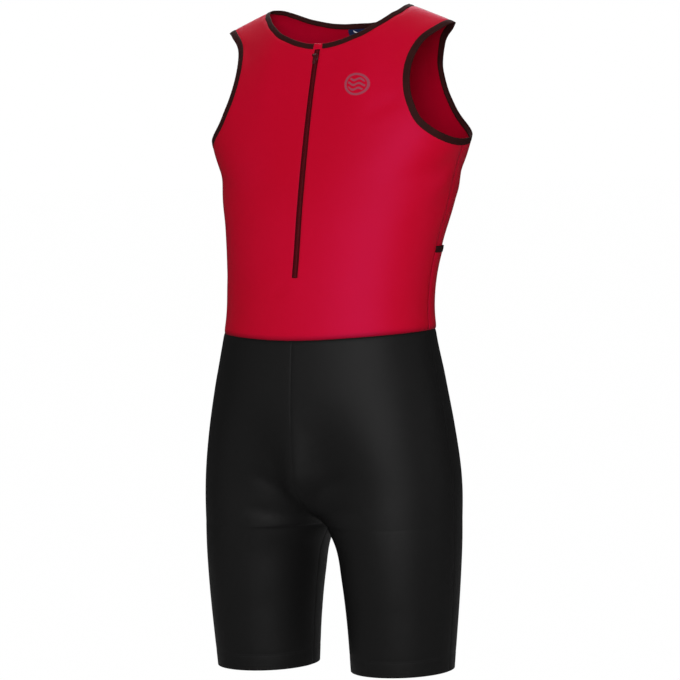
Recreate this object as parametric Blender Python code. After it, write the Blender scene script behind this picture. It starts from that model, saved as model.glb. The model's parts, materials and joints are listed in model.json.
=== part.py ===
"""A sleeveless triathlon suit, filled out as it is worn, with nobody in it.

The suit hangs from the wearer's shoulders, so the origin is the middle of the two shoulder seams.
+Z is up, the front faces -Y and the wearer's left is +X. Sizes are in metres.
Every cloth piece is a thin wall. Its outer points are read from the suit's own form, which is a stack
of rounded sections up to the underarm, arches over the shoulders above it, and two legs below.
"""

import math

import bpy
import numpy as np
from mathutils import Matrix, Vector

# Driving dimensions
CLOTH_WALL = 0.0014
BINDING_WALL = 0.0026
SEAM_GAP = 0.0003
NECK_BINDING_WIDTH = 0.007
ARM_BINDING_WIDTH = 0.009
UNDERARM_HEIGHT = -0.185
ZIP_END_HEIGHT = -0.354
POCKET_TOP_HEIGHT = -0.328
WAIST_SEAM_HEIGHT = -0.432
FORK_START_HEIGHT = -0.615
CROTCH_HEIGHT = -0.693
HEM_HEIGHT = -0.893
NECK_POINT = 0.114
SHOULDER_SEAM_HEIGHT = 0.006
SHOULDER_SLOPE = 0.45
RIDGE_ROUND = 0.080
ZIP_OPENING = 0.0088
GUARD_WIDTH = 0.0140
GUARD_STAND = 0.0008
POCKET_BINDING_WIDTH = 0.007
POCKET_STAND = 0.0012
POCKET_EDGE_STAND = 0.0010
TAPE_WALL = 0.0011

# The slider and its pull: across the zip, along it and out from it.
SLIDER_DROP = 0.0125
SLIDER = {
    "plate": (0.0076, 0.0090, 0.0020),
    "pin_up": 0.0022,
    "pin_out": 0.0040,
    "pin_radius": 0.0006,
    "lug": 0.0008,
    "lug_radius": 0.0019,
    "pull_width": 0.0042,
    "pull_length": 0.0130,
    "pull_wall": 0.0012,
    "eye_radius": 0.0014,
}
LABEL = {"width": 0.034, "height": 0.020, "drop": 0.004, "wall": 0.0010, "off": 0.0010}

# Where the row that ends at the underarm starts in the middle: rows fan out above the pocket's mouth.
FAN_HEIGHT = -0.245

# The arches over the shoulders: how far each one keeps the slope that it starts with, and how far it
# runs level before it meets the shoulder seam.
ARCH_RISE = 0.085
ARCH_RUN = 0.050
ARCH_TIGHTER = (0.070, 0.150, 0.68)  # from here to here the run shrinks by this share, out by the armholes
WAIST_SAG = 0.0055
WAIST_SAG_REACH = 0.030
SHOULDER_LEVEL = 3 * ARCH_RISE

# The legs: how softly they merge at the crotch, and where the hips turn into two legs.
LEG_MERGE = 0.30
HIP_TO_LEG = (-0.500, -0.665)

# How many faces each stretch is divided into
LEVEL_ROWS = (3, 1)
FANNED_ROWS = 5
ARMHOLE_ROWS = 13
NECKLINE_ROWS = {"front": 6, "back": 5}
COLUMNS = 9
HIP_ROWS = 8
FORK_ROWS = 6
LEG_ROWS = 9

# One row for each level of the body: the half width, how far the front and the back stand from the
# side seam, where the side seam lies, and how square the section is.
BODY_COLUMNS = ("height", "half_width", "front", "back", "seam_y", "square")
BODY = (
    (-0.893, 0.175, 0.084, 0.088, -0.090, 2.10),
    (-0.790, 0.183, 0.096, 0.098, -0.086, 2.10),
    (-0.700, 0.187, 0.100, 0.107, -0.082, 2.10),
    (-0.640, 0.187, 0.107, 0.117, -0.079, 2.10),
    (-0.570, 0.179, 0.112, 0.122, -0.077, 2.10),
    (-0.500, 0.167, 0.111, 0.115, -0.073, 2.10),
    (-0.430, 0.153, 0.108, 0.101, -0.067, 2.10),
    (-0.410, 0.151, 0.107, 0.096, -0.064, 2.10),
    (-0.365, 0.152, 0.107, 0.090, -0.056, 2.10),
    (-0.315, 0.158, 0.109, 0.093, -0.042, 2.15),
    (-0.270, 0.167, 0.113, 0.100, -0.028, 2.20),
    (-0.220, 0.176, 0.112, 0.108, -0.016, 2.25),
    (-0.185, 0.188, 0.103, 0.109, -0.015, 2.30),
    (-0.150, 0.200, 0.096, 0.106, -0.012, 2.30),
)

# The leg below the hips: how far its inner side stands from the middle, and its front and back.
LEG_COLUMNS = ("height", "inner", "front", "back")
LEG = (
    (-0.893, 0.034, 0.072, 0.074),
    (-0.830, 0.031, 0.078, 0.082),
    (-0.770, 0.025, 0.084, 0.091),
    (-0.725, 0.017, 0.087, 0.097),
    (-0.693, 0.002, 0.089, 0.101),
    (-0.640, -0.014, 0.090, 0.104),
    (-0.600, -0.034, 0.092, 0.107),
    (-0.500, -0.080, 0.092, 0.107),
)

# The panels' edge round the armhole, from the underarm (0) up to the shoulder seam (1).
ARMHOLE_COLUMNS = ("arch", "front_x", "back_x")
ARMHOLE = (
    (0.00, 0.188, 0.188),
    (0.04, 0.174, 0.170),
    (0.11, 0.155, 0.145),
    (0.23, 0.139, 0.124),
    (0.40, 0.130, 0.117),
    (0.60, 0.134, 0.130),
    (0.80, 0.154, 0.155),
    (1.00, 0.168, 0.168),
)

# The panels' edge round the neck, from the middle out to the shoulder seam.
NECK_COLUMNS = ("x", "front_arch", "back_arch")
NECK = (
    (0.000, 0.487, 0.600),
    (0.023, 0.500, 0.605),
    (0.051, 0.542, 0.640),
    (0.080, 0.628, 0.727),
    (0.100, 0.752, 0.850),
    (0.110, 0.872, 0.938),
    (0.114, 1.000, 1.000),
)


def read(table, columns, name, at):
    """One column of a table at any value of its first column, on a smooth curve through the rows."""
    rows = np.array(table, float)
    key, value = rows[:, 0], rows[:, columns.index(name)]
    slope = np.gradient(value, key)
    at = np.clip(np.asarray(at, float), key[0], key[-1])
    i = np.clip(np.searchsorted(key, at, side="right") - 1, 0, len(key) - 2)
    step = key[i + 1] - key[i]
    t = (at - key[i]) / step
    return (
        value[i] * (1 + 2 * t) * (1 - t) ** 2
        + slope[i] * step * t * (1 - t) ** 2
        + value[i + 1] * t * t * (3 - 2 * t)
        + slope[i + 1] * step * t * t * (t - 1)
    )


def body(name, height):
    return read(BODY, BODY_COLUMNS, name, height)


def leg(name, height):
    return read(LEG, LEG_COLUMNS, name, height)


def soft_step(start, end, at):
    t = np.clip((at - start) / (end - start), 0, 1)
    return t * t * (3 - 2 * t)


def section_point(angle, height, side):
    """A point of the body's section. Angle runs from 0 in the middle to a quarter turn at the side seam."""
    over, ahead = np.sin(angle), np.cos(angle)
    square = body("square", height)
    reach = (
        (np.abs(over) / body("half_width", height)) ** square
        + (np.abs(ahead) / body(side, height)) ** square
    ) ** (-1 / square)
    forward = -1 if side == "front" else 1
    y = body("seam_y", height) + forward * reach * ahead
    sag = 0 * ahead
    if side == "front":
        sag = WAIST_SAG * ahead**2 * np.exp(-(((height - WAIST_SEAM_HEIGHT) / WAIST_SAG_REACH) ** 2))
    return np.stack(np.broadcast_arrays(reach * over, y, height - sag), axis=-1)


def angle_at(x, side, height=UNDERARM_HEIGHT):
    """The angle whose point of a section stands this far from the middle."""
    square = body("square", height)
    share = np.clip(x / body("half_width", height), 0, 1)
    along = body(side, height) * (1 - share**square) ** (1 / square)
    return np.arctan2(x, along)


def arch_point(angle, arch, side):
    """A point over the chest or the back: each angle has its own arch, from the underarm level (0) to
    the shoulder seam (1), which starts with the body's slope and ends level."""
    foot = section_point(angle, UNDERARM_HEIGHT, side)
    below = section_point(angle, UNDERARM_HEIGHT - 0.002, side)
    rise = (foot - below) / 0.002
    x = foot[..., 0]
    fall = np.hypot(x, RIDGE_ROUND) - math.hypot(NECK_POINT, RIDGE_ROUND)
    top = np.stack([x, 0 * x, SHOULDER_SEAM_HEIGHT - SHOULDER_SLOPE * fall], axis=-1)
    forward = -1 if side == "front" else 1
    first = foot + rise * ARCH_RISE
    start, end, tighter = ARCH_TIGHTER
    run = ARCH_RUN * (1 - tighter * soft_step(start, end, x))
    share = np.minimum(1, np.abs(foot[..., 1]) / run / 2)
    last = top + np.stack([0 * x, forward * run * share, 0 * x], axis=-1)
    t = np.asarray(arch, float)[..., None]
    return (
        foot * (1 - t) ** 3 + 3 * first * t * (1 - t) ** 2 + 3 * last * t * t * (1 - t) + top * t**3
    )


def unit(vectors):
    return vectors / np.maximum(np.linalg.norm(vectors, axis=-1, keepdims=True), 1e-12)


def outward(surface, first, second, side):
    """Unit normals of a surface of two parameters, from small steps in both of them."""
    step = 0.0005
    along_first = surface(first + step, second, side) - surface(first - step, second, side)
    along_second = surface(first, second + step, side) - surface(first, second - step, side)
    normal = np.cross(along_first, along_second)
    return unit(normal if side == "front" else -normal)


def torso_point(angle, level, side):
    """A point of the torso. Level is measured up from the underarm, over the shoulder."""
    low = section_point(angle, UNDERARM_HEIGHT + np.minimum(level, 0), side)
    high = arch_point(angle, np.clip(level, 0, None) / SHOULDER_LEVEL, side)
    return np.where(np.asarray(level)[..., None] < 0, low, high)


def edge_stations(angle, level, rows, side):
    """The angle and the level at evenly spaced points of an edge, after its first one."""
    points = torso_point(angle, level, side)
    length = np.append(0, np.cumsum(np.linalg.norm(np.diff(points, axis=0), axis=1)))
    shares = np.linspace(0, length[-1], rows + 1)[1:]
    return np.stack([np.interp(shares, length, angle), np.interp(shares, length, level)], 1)


def middle_edge(middle, start, end, rows, side):
    level = np.linspace(start, end, 80)
    angle = angle_at(middle, side, UNDERARM_HEIGHT + np.minimum(level, 0))
    return edge_stations(angle, level, rows, side)


def torso_grid(side, middle):
    """The left half of the front or the back: rows go up, columns go out from the middle."""
    levels = np.array([WAIST_SEAM_HEIGHT, ZIP_END_HEIGHT, POCKET_TOP_HEIGHT]) - UNDERARM_HEIGHT
    fan = FAN_HEIGHT - UNDERARM_HEIGHT
    neck_x = np.linspace(middle, NECK_POINT, 60)
    neck_level = read(NECK, NECK_COLUMNS, side + "_arch", neck_x) * SHOULDER_LEVEL
    arch = np.linspace(0, 1, 200)
    arm_angle = angle_at(read(ARMHOLE, ARMHOLE_COLUMNS, side + "_x", arch), side)
    rows_to_neck = ARMHOLE_ROWS - NECKLINE_ROWS[side]
    inner = [
        [[angle_at(middle, side, WAIST_SEAM_HEIGHT), levels[0]]],
        middle_edge(middle, levels[0], levels[1], LEVEL_ROWS[0], side),
        middle_edge(middle, levels[1], levels[2], LEVEL_ROWS[1], side),
        middle_edge(middle, levels[2], fan, FANNED_ROWS, side),
        middle_edge(middle, fan, neck_level[0], rows_to_neck, side),
        edge_stations(angle_at(neck_x, side), neck_level, NECKLINE_ROWS[side], side),
    ]
    quarter = math.pi / 2
    outer_level = np.concatenate(
        [
            [levels[0]],
            np.linspace(levels[0], levels[1], LEVEL_ROWS[0] + 1)[1:],
            np.linspace(levels[1], levels[2], LEVEL_ROWS[1] + 1)[1:],
            np.linspace(levels[2], 0, FANNED_ROWS + 1)[1:],
        ]
    )
    inner = np.concatenate(inner)
    inner[: len(outer_level) - FANNED_ROWS, 1] = outer_level[:-FANNED_ROWS]
    outer = np.concatenate(
        [
            np.stack([np.full(len(outer_level), quarter), outer_level], 1),
            edge_stations(arm_angle, arch * SHOULDER_LEVEL, ARMHOLE_ROWS, side),
        ]
    )
    out = np.linspace(0, 1, COLUMNS + 1)[None, :, None]
    angle, level = np.moveaxis(inner[:, None] + (outer - inner)[:, None] * out, -1, 0)
    normals = outward(torso_point, angle, level, side)
    normals[-1, :, 1] = 0
    return torso_point(angle, level, side), unit(normals)


def split_share(turn, height):
    """How far the hips have turned into legs: along the crotch seam it follows a round U, and further
    out it starts higher up and is gentler."""
    fall = np.clip((FORK_START_HEIGHT - height) / (FORK_START_HEIGHT - CROTCH_HEIGHT), 0, 1)
    seam = 1 - np.sqrt(1 - fall**2)
    outside = soft_step(-HIP_TO_LEG[0], -HIP_TO_LEG[1], -height)
    return seam + (outside - seam) * soft_step(0, 0.6, turn), seam


def shorts_point(turn, height, side):
    """A point of the shorts. Turn runs from 0, the middle seam or the inseam, to 1 at the side seam."""
    hips = section_point(turn * math.pi / 2, height, side)
    split, seam = split_share(turn, height)
    inner = np.maximum(leg("inner", height), 0) * (height < CROTCH_HEIGHT)
    outer = body("half_width", height)
    soft = LEG_MERGE * (1 - seam) * (turn < 0.5)
    swell = np.sqrt(np.sin(math.pi * turn) ** 2 + soft**2) - soft
    swell = swell / (np.sqrt(1 + soft**2) - soft) * np.where(turn < 0, -1, 1) ** (seam == 1)
    x = (outer + inner) / 2 - (outer - inner) / 2 * np.cos(math.pi * turn)
    forward = -1 if side == "front" else 1
    y = body("seam_y", height) + forward * leg(side, height) * swell
    legs = np.stack(np.broadcast_arrays(x, y, height), axis=-1)
    return hips + (legs - hips) * split[..., None]


def shorts_heights():
    fork = np.sin(np.linspace(0, math.pi / 2, FORK_ROWS + 1)[1:])
    return np.concatenate(
        [
            np.linspace(WAIST_SEAM_HEIGHT, FORK_START_HEIGHT, HIP_ROWS + 1),
            FORK_START_HEIGHT + (CROTCH_HEIGHT - FORK_START_HEIGHT) * fork,
            np.linspace(CROTCH_HEIGHT, HEM_HEIGHT, LEG_ROWS + 1)[1:],
        ]
    )


def shorts_grid(side):
    """The left front or the left back of the shorts: rows go down, columns go out to the side seam."""
    turn, height = np.meshgrid(np.linspace(0, 1, COLUMNS + 1), shorts_heights())
    points = shorts_point(turn, height, side)
    normals = outward(shorts_point, turn, height, side)
    crotch = HIP_ROWS + FORK_ROWS
    normals[: crotch + 1, 0, 0] = 0
    normals[crotch, 0] = (0, 0, -1)
    return points, unit(normals)


def triangles(cells, halves=1):
    """Two triangles for each cell of a grid that is there. In the first of two halves they are mirrored."""
    index = np.arange((cells.shape[0] + 1) * (cells.shape[1] + 1)).reshape(cells.shape[0] + 1, -1)
    corners = index[:-1, :-1], index[:-1, 1:], index[1:, 1:], index[1:, :-1]
    first = np.zeros(cells.shape, bool)
    first[:, : cells.shape[1] // 2 * (halves - 1)] = True
    a, b, c, d = (part[cells & ~first] for part in corners)
    e, f, g, h = (part[cells & first] for part in corners)
    pairs = ([a, b, c], [a, c, d], [e, f, h], [f, g, h])
    return np.concatenate([np.stack(pair, 1) for pair in pairs])


def add_mesh(name, points, faces, material, round_side=0.6):
    """A mesh object, with its faces turned to point outwards and shaded smooth up to an angle."""
    points = np.asarray(points, float).reshape(-1, 3)
    faces = np.asarray(faces)
    if np.linalg.det(points[faces]).sum() < 0:
        faces = faces[:, ::-1]
    used, faces = np.unique(faces, return_inverse=True)
    mesh = bpy.data.meshes.new(name)
    mesh.from_pydata(points[used].tolist(), [], faces.reshape(-1, 3).tolist())
    mesh.materials.append(material)
    mesh.polygons.foreach_set("use_smooth", [True] * len(mesh.polygons))
    mesh.set_sharp_from_angle(angle=round_side)
    thing = bpy.data.objects.new(name, mesh)
    bpy.context.collection.objects.link(thing)
    return thing


def add_cloth(
    name, points, normals, material, wall=CLOTH_WALL, cells=None, mirrored=False, halves=1
):
    """A cloth wall: the grid's points, the same points moved in by the wall, and a rim round them."""
    if cells is None:
        cells = np.ones((points.shape[0] - 1, points.shape[1] - 1), bool)
    _, first, index = np.unique(
        np.round(points.reshape(-1, 3) * 1e6), axis=0, return_index=True, return_inverse=True
    )
    outer = first[index.reshape(-1)][triangles(cells, halves)]
    count = points.shape[0] * points.shape[1]
    edges = np.concatenate([outer[:, [0, 1]], outer[:, [1, 2]], outer[:, [2, 0]]])
    there = set(map(tuple, edges.tolist()))
    rim = [
        corner
        for i, j in sorted(there)
        if (j, i) not in there
        for corner in ((j, i, i + count), (j, i + count, j + count))
    ]
    inside = points - wall * normals
    both = np.concatenate([points.reshape(-1, 3), inside.reshape(-1, 3)])
    if mirrored:
        both = both * (-1, 1, 1)
    return add_mesh(name, both, np.concatenate([outer, outer[:, ::-1] + count, rim]), material)


def drawn_in(points, rows=(), columns=(), held=slice(None)):
    """The grid with some of its edges drawn in by half the gap of a seam."""
    moved = points.copy()
    for row, beside in rows:
        moved[row] += unit(points[beside] - points[row]) * SEAM_GAP / 2
    for column, beside in columns:
        moved[held, column] += unit(points[held, beside] - points[held, column]) * SEAM_GAP / 2
    return moved


def add_band(name, path, normals, width, material, turned, closed):
    """A binding: a rounded flat profile carried along an edge, standing clear of it by the gap."""
    path, normals = np.asarray(path), np.asarray(normals)
    if closed:
        ahead, behind = np.roll(path, -1, axis=0), np.roll(path, 1, axis=0)
    else:
        ahead = np.append(path[1:], path[-1:], axis=0)
        behind = np.append(path[:1], path[:-1], axis=0)
    tangent = unit(ahead - behind)
    sideways = unit(np.cross(tangent, normals)) * turned
    thick = BINDING_WALL / 2
    corner = 0.3 * thick
    profile = (
        (SEAM_GAP + corner, thick),
        (SEAM_GAP + width - 3 * corner, thick),
        (SEAM_GAP + width, 0.35 * thick),
        (SEAM_GAP + width, -0.35 * thick),
        (SEAM_GAP + width - 3 * corner, -thick),
        (SEAM_GAP + corner, -thick),
        (SEAM_GAP, -0.6 * thick),
        (SEAM_GAP, 0.6 * thick),
    )
    middle = path - normals * CLOTH_WALL / 2
    rings = np.stack([middle + sideways * out + normals * up for out, up in profile], axis=1)
    count, sides = len(path), len(profile)
    faces = []
    for i in range(count if closed else count - 1):
        for j in range(sides):
            a, b = i * sides + j, i * sides + (j + 1) % sides
            c, d = ((i + 1) % count) * sides + (j + 1) % sides, ((i + 1) % count) * sides + j
            faces += [(a, b, c), (a, c, d)]
    if not closed:
        last = (count - 1) * sides
        faces += [(0, j + 1, j) for j in range(1, sides - 1)]
        faces += [(last, last + j, last + j + 1) for j in range(1, sides - 1)]
    return add_mesh(name, rings, faces, material)


def form_point(x, height, side):
    """The point and the normal of the form in front of, or behind, a given x and height."""
    angle, level = angle_at(abs(x), side, min(height, UNDERARM_HEIGHT)), height - UNDERARM_HEIGHT
    if level > 0:
        levels = np.linspace(0, SHOULDER_LEVEL, 400)
        level = np.interp(height, torso_point(angle, levels, side)[:, 2], levels)
    angle, level = np.array(angle), np.array(level)
    turn = np.array([math.copysign(1, x), 1, 1])
    return torso_point(angle, level, side) * turn, outward(torso_point, angle, level, side) * turn


def patch_grid(xs, heights, side, lift):
    """A grid of points standing a little way off the form."""
    pairs = [[form_point(x, height, side) for x in xs] for height in heights]
    points = np.array([[pair[0] for pair in row] for row in pairs])
    normals = np.array([[pair[1] for pair in row] for row in pairs])
    return points + normals * lift, normals


def material(name, colour, roughness, metallic=0.0):
    made = bpy.data.materials.new(name)
    made.use_nodes = True
    shader = made.node_tree.nodes["Principled BSDF"]
    shader.inputs["Base Color"].default_value = (*colour, 1)
    shader.inputs["Roughness"].default_value = roughness
    shader.inputs["Metallic"].default_value = metallic
    return made


def box(name, size, place, frame, finish):
    """A block of a given size in the slider's own frame: across, up along the zip, and out from it."""
    corners = np.array([[i, j, k] for i in (-1, 1) for j in (-1, 1) for k in (-1, 1)]) * 0.5
    local = corners * size + place
    faces = [(0, 1, 3), (0, 3, 2), (4, 6, 7), (4, 7, 5), (0, 4, 5), (0, 5, 1)]
    faces += [(2, 3, 7), (2, 7, 6), (0, 2, 6), (0, 6, 4), (1, 5, 7), (1, 7, 3)]
    return add_mesh(name, frame[0] + local @ frame[1], faces, finish)


def prism(name, outline, start, end, axes, frame, finish):
    """An outline in two of the frame's axes, carried along the third from start to end."""
    outline = np.asarray(outline, float)
    count = len(outline)
    local = np.zeros((2 * count, 3))
    local[:count, axes[0]], local[:count, axes[1]], local[:count, axes[2]] = *outline.T, start
    local[count:, axes[0]], local[count:, axes[1]], local[count:, axes[2]] = *outline.T, end
    faces = [(0, j + 1, j) for j in range(1, count - 1)]
    faces += [(count, count + j, count + j + 1) for j in range(1, count - 1)]
    for j in range(count):
        k = (j + 1) % count
        faces += [(j, k, count + k), (j, count + k, count + j)]
    return add_mesh(name, frame[0] + local @ frame[1], faces, finish)


def combine(thing, other, operation):
    other.hide_render = True
    other.display_type = "WIRE"
    change = thing.modifiers.new(operation.lower(), "BOOLEAN")
    change.operation = operation
    change.solver = "EXACT"
    change.object = other


def disc(radius, centre, sides=20):
    turns = np.linspace(0, 2 * math.pi, sides, endpoint=False)
    return np.stack([centre[0] + radius * np.cos(turns), centre[1] + radius * np.sin(turns)], 1)


for thing in list(bpy.data.objects):
    bpy.data.objects.remove(thing)

RED = material("red_jersey", (0.50, 0.006, 0.022), 0.62)
BLACK = material("black_jersey", (0.012, 0.012, 0.013), 0.66)
TRIM = material("dark_binding", (0.035, 0.010, 0.010), 0.72)
TAPE = material("zip_tape", (0.070, 0.006, 0.012), 0.70)
HARD = material("slider_plastic", (0.030, 0.012, 0.012), 0.42)
NAVY = material("navy_label", (0.008, 0.018, 0.075), 0.60)

# The front, cut in one piece with a slit for the zip, and the back
half_zip = ZIP_OPENING / 2
front_points, front_normals = torso_grid("front", half_zip)
back_points, back_normals = torso_grid("back", 0.0)
zip_row, pocket_row = LEVEL_ROWS[0], sum(LEVEL_ROWS)
underarm_row = pocket_row + FANNED_ROWS
neck_row = {side: underarm_row + ARMHOLE_ROWS - rows for side, rows in NECKLINE_ROWS.items()}
flipped = np.array([-1, 1, 1])


def whole(half):
    """Both halves of a grid side by side, each with its own middle column."""
    return np.concatenate([half[:, ::-1] * flipped, half], axis=1)


seams = dict(rows=((0, 1), (-1, -2)), columns=((-1, -2),), held=slice(0, underarm_row + 1))
front = whole(drawn_in(front_points, **seams))
cells = np.ones((front.shape[0] - 1, front.shape[1] - 1), bool)
cells[zip_row:, COLUMNS] = False
add_cloth("front_panel", front, whole(front_normals), RED, cells=cells, halves=2)
back, back_out = whole(drawn_in(back_points, **seams)), whole(back_normals)
cells = np.ones(cells.shape, bool)
cells[:, COLUMNS] = False
add_cloth("back_panel", back, back_out, RED, cells=cells, halves=2)

# The pocket lies on the lower back from seam to seam, and its mouth stands a little way off
share = np.linspace(0, 1, pocket_row + 1)[:, None, None]
bulge = np.sin(np.linspace(0, math.pi, back.shape[1]))[None, :, None] ** 0.5
stand = SEAM_GAP + CLOTH_WALL + share**2 * (POCKET_EDGE_STAND + POCKET_STAND * bulge)
pocket_out = back_out[: pocket_row + 1]
pocket = back[: pocket_row + 1] + pocket_out * stand
add_cloth("back_pocket", pocket, pocket_out, RED, cells=cells[:pocket_row], halves=2)
mouth, mouth_out = (np.delete(row[-1], COLUMNS, axis=0) for row in (pocket, pocket_out))
add_band("pocket_binding", mouth, mouth_out, POCKET_BINDING_WIDTH, TRIM, 1, False)


def joined(front_edge, back_edge):
    """An edge that goes up the front to the shoulder seam and down the back."""
    return np.concatenate([front_edge, back_edge[-2::-1]])


# The bindings round the neck and the armholes
neck = joined(front_points[neck_row["front"] :, 0], back_points[neck_row["back"] :, 0])
neck_out = joined(front_normals[neck_row["front"] :, 0], back_normals[neck_row["back"] :, 0])
neck = np.concatenate([neck, neck[-2::-1] * flipped])
neck_out = np.concatenate([neck_out, neck_out[-2::-1] * flipped])
neck_way = unit(neck[1] - neck[0])
neck[0] += neck_way * (GUARD_WIDTH / 2 + SEAM_GAP - half_zip)
neck[-1] = neck[0] * flipped
add_band("neck_binding", neck, neck_out, NECK_BINDING_WIDTH, TRIM, -1, False)

# The zip's guard: a folded end of the red cloth between the two ends of the neck binding
guard_end = neck[0] - neck_way * SEAM_GAP
guard_half = np.array([guard_end - neck_way * 0.003, guard_end])
guard = np.concatenate([guard_half[::-1] * flipped, guard_half])
guard_out = np.tile(neck_out[0], (4, 1)) * np.array([flipped, flipped, [1, 1, 1], [1, 1, 1]])
add_band("zip_guard", guard, guard_out, NECK_BINDING_WIDTH + GUARD_STAND, RED, -1, False)

arm = joined(front_points[underarm_row:, -1], back_points[underarm_row + 1 :, -1])
arm_out = joined(front_normals[underarm_row:, -1], back_normals[underarm_row + 1 :, -1])
for name, turn in (("left", 1), ("right", -1)):
    mirror = (turn, 1, 1)
    add_band(
        f"armhole_binding_{name}", arm * mirror, arm_out * mirror, ARM_BINDING_WIDTH, TRIM, turn, True
    )

# The shorts: four panels that meet at the middle seams, the side seams and the inseams
for side in ("front", "back"):
    points, normals = shorts_grid(side)
    points = drawn_in(points, rows=((0, 1),), columns=((0, 1), (-1, -2)))
    points[..., 0] = np.maximum(points[..., 0], SEAM_GAP / 2)
    for name, mirrored in (("left", False), ("right", True)):
        add_cloth(f"shorts_{side}_{name}", points, normals, BLACK, mirrored=mirrored)

# The zip: two tapes in the slit, the slider near the top and its pull
tape_rows = front_points[zip_row : neck_row["front"] + 1, 0, 2].copy()
zip_top = tape_rows[-1]
tape_rows[0] += SEAM_GAP
for name, turn in (("left", 1), ("right", -1)):
    xs = np.array([SEAM_GAP / 2, half_zip - SEAM_GAP]) * turn
    points, normals = patch_grid(xs, tape_rows, "front", -SEAM_GAP)
    add_cloth(f"zip_tape_{name}", points, normals, TAPE, wall=TAPE_WALL)

place, out_way = form_point(0.0, zip_top - SLIDER_DROP, "front")
up_way = unit(np.cross(out_way, (1.0, 0, 0)))
up_way = up_way * math.copysign(1, up_way[2])
frame = (place, np.array([(1.0, 0, 0), up_way, out_way]))
pin = SLIDER["pin_out"]
slider = box("zip_slider", SLIDER["plate"], (0, 0, SLIDER["plate"][2] / 2 + SEAM_GAP), frame, HARD)
lug_x = SLIDER["pull_width"] / 2 + SEAM_GAP
for name, start in (("lug_left", lug_x), ("lug_right", -lug_x - SLIDER["lug"])):
    outline = disc(SLIDER["lug_radius"], (SLIDER["pin_up"], pin))
    lug = prism(name, outline, start, start + SLIDER["lug"], (1, 2, 0), frame, HARD)
    combine(slider, lug, "UNION")
outline = disc(SLIDER["pin_radius"], (SLIDER["pin_up"], pin), 12)
reach = lug_x + SLIDER["lug"] / 2
bar = prism("bar", outline, -reach, reach, (1, 2, 0), frame, HARD)
combine(slider, bar, "UNION")

half, thick = SLIDER["pull_width"] / 2, SLIDER["pull_wall"] / 2
foot = SLIDER["pin_up"] - SLIDER["pull_length"]
turns = np.linspace(-1.2, 1.2, 9)
outline = [(-half, SLIDER["pin_up"]), (-half, foot + half)]
outline += [(half * math.sin(t), foot + half - half * math.cos(t)) for t in turns]
outline += [(half, foot + half), (half, SLIDER["pin_up"])]
pull = prism("zip_pull", outline, pin - thick, pin + thick, (0, 1, 2), frame, HARD)
outline = disc(SLIDER["eye_radius"], (SLIDER["pin_up"], pin))
eye = prism("eye", outline, -half, half, (1, 2, 0), frame, HARD)
outline = disc(SLIDER["pin_radius"] + SEAM_GAP, (SLIDER["pin_up"], pin), 12)
hole = prism("hole", outline, -2 * half, 2 * half, (1, 2, 0), frame, HARD)
combine(pull, eye, "UNION")
combine(pull, hole, "DIFFERENCE")

# The pull turns on the cross bar, so its origin is the bar's middle
hinge = place + SLIDER["pin_up"] * up_way + pin * out_way
pull.data.transform(Matrix.Translation(-Vector(hinge)))
pull.location = hinge

# The size label inside the back of the neck
neck_back = back_points[neck_row["back"], 0, 2]
xs = np.linspace(-LABEL["width"] / 2, LABEL["width"] / 2, 7)
heights = neck_back - LABEL["drop"] - np.linspace(LABEL["height"], 0, 5)
points, normals = patch_grid(xs, heights, "back", -CLOTH_WALL - LABEL["off"])
add_cloth("neck_label", points, normals, NAVY, wall=LABEL["wall"])
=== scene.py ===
import math
from functools import partial

import bpy
import numpy as np
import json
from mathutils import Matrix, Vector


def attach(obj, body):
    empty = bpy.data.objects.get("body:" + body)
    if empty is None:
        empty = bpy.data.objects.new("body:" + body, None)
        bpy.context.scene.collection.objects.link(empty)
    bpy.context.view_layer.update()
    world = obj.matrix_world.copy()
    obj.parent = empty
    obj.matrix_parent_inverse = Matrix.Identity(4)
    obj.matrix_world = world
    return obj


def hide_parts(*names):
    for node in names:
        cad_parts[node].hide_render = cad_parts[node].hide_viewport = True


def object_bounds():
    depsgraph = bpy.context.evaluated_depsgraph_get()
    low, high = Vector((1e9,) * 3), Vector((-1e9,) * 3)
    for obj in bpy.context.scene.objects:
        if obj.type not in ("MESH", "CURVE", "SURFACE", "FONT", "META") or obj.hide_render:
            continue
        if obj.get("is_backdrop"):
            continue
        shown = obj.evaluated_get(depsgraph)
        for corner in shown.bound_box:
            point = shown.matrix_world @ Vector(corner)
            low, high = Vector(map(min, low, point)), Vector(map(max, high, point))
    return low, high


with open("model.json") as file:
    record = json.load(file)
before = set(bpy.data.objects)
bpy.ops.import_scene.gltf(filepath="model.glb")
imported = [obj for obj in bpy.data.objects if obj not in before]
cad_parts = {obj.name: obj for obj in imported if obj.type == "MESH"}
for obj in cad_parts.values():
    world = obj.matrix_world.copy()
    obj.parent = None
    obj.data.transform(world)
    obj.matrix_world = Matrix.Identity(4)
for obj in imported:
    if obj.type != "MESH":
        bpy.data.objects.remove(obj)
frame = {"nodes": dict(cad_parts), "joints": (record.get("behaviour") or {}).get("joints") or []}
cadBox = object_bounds()
print("frame loaded,", len(frame["nodes"]), "nodes")

scene = bpy.context.scene
scene.view_settings.view_transform = "Standard"

# Heights and sizes in metres. The origin is at the shoulders, the front faces -Y.

form = {
    "underarm": -0.185,
    "zipEnd": -0.354,
    "pocketTop": -0.328,
    "waist": -0.432,
    "forkStart": -0.615,
    "crotch": -0.693,
    "hem": -0.893,
    "neckPoint": 0.114,
    "shoulder": 0.006,
    "shoulderSlope": 0.45,
    "ridgeRound": 0.080,
    "fan": -0.245,
    "archRise": 0.085,
    "archRun": 0.050,
    "archTighter": (0.070, 0.150, 0.68),
    "waistSag": 0.0055,
    "waistSagReach": 0.030,
    "legMerge": 0.30,
    "hipToLeg": (-0.500, -0.665),
    "zipOpening": 0.0088,
    "wall": 0.0013,
}
shoulderLevel = 3 * form["archRise"]

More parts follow.
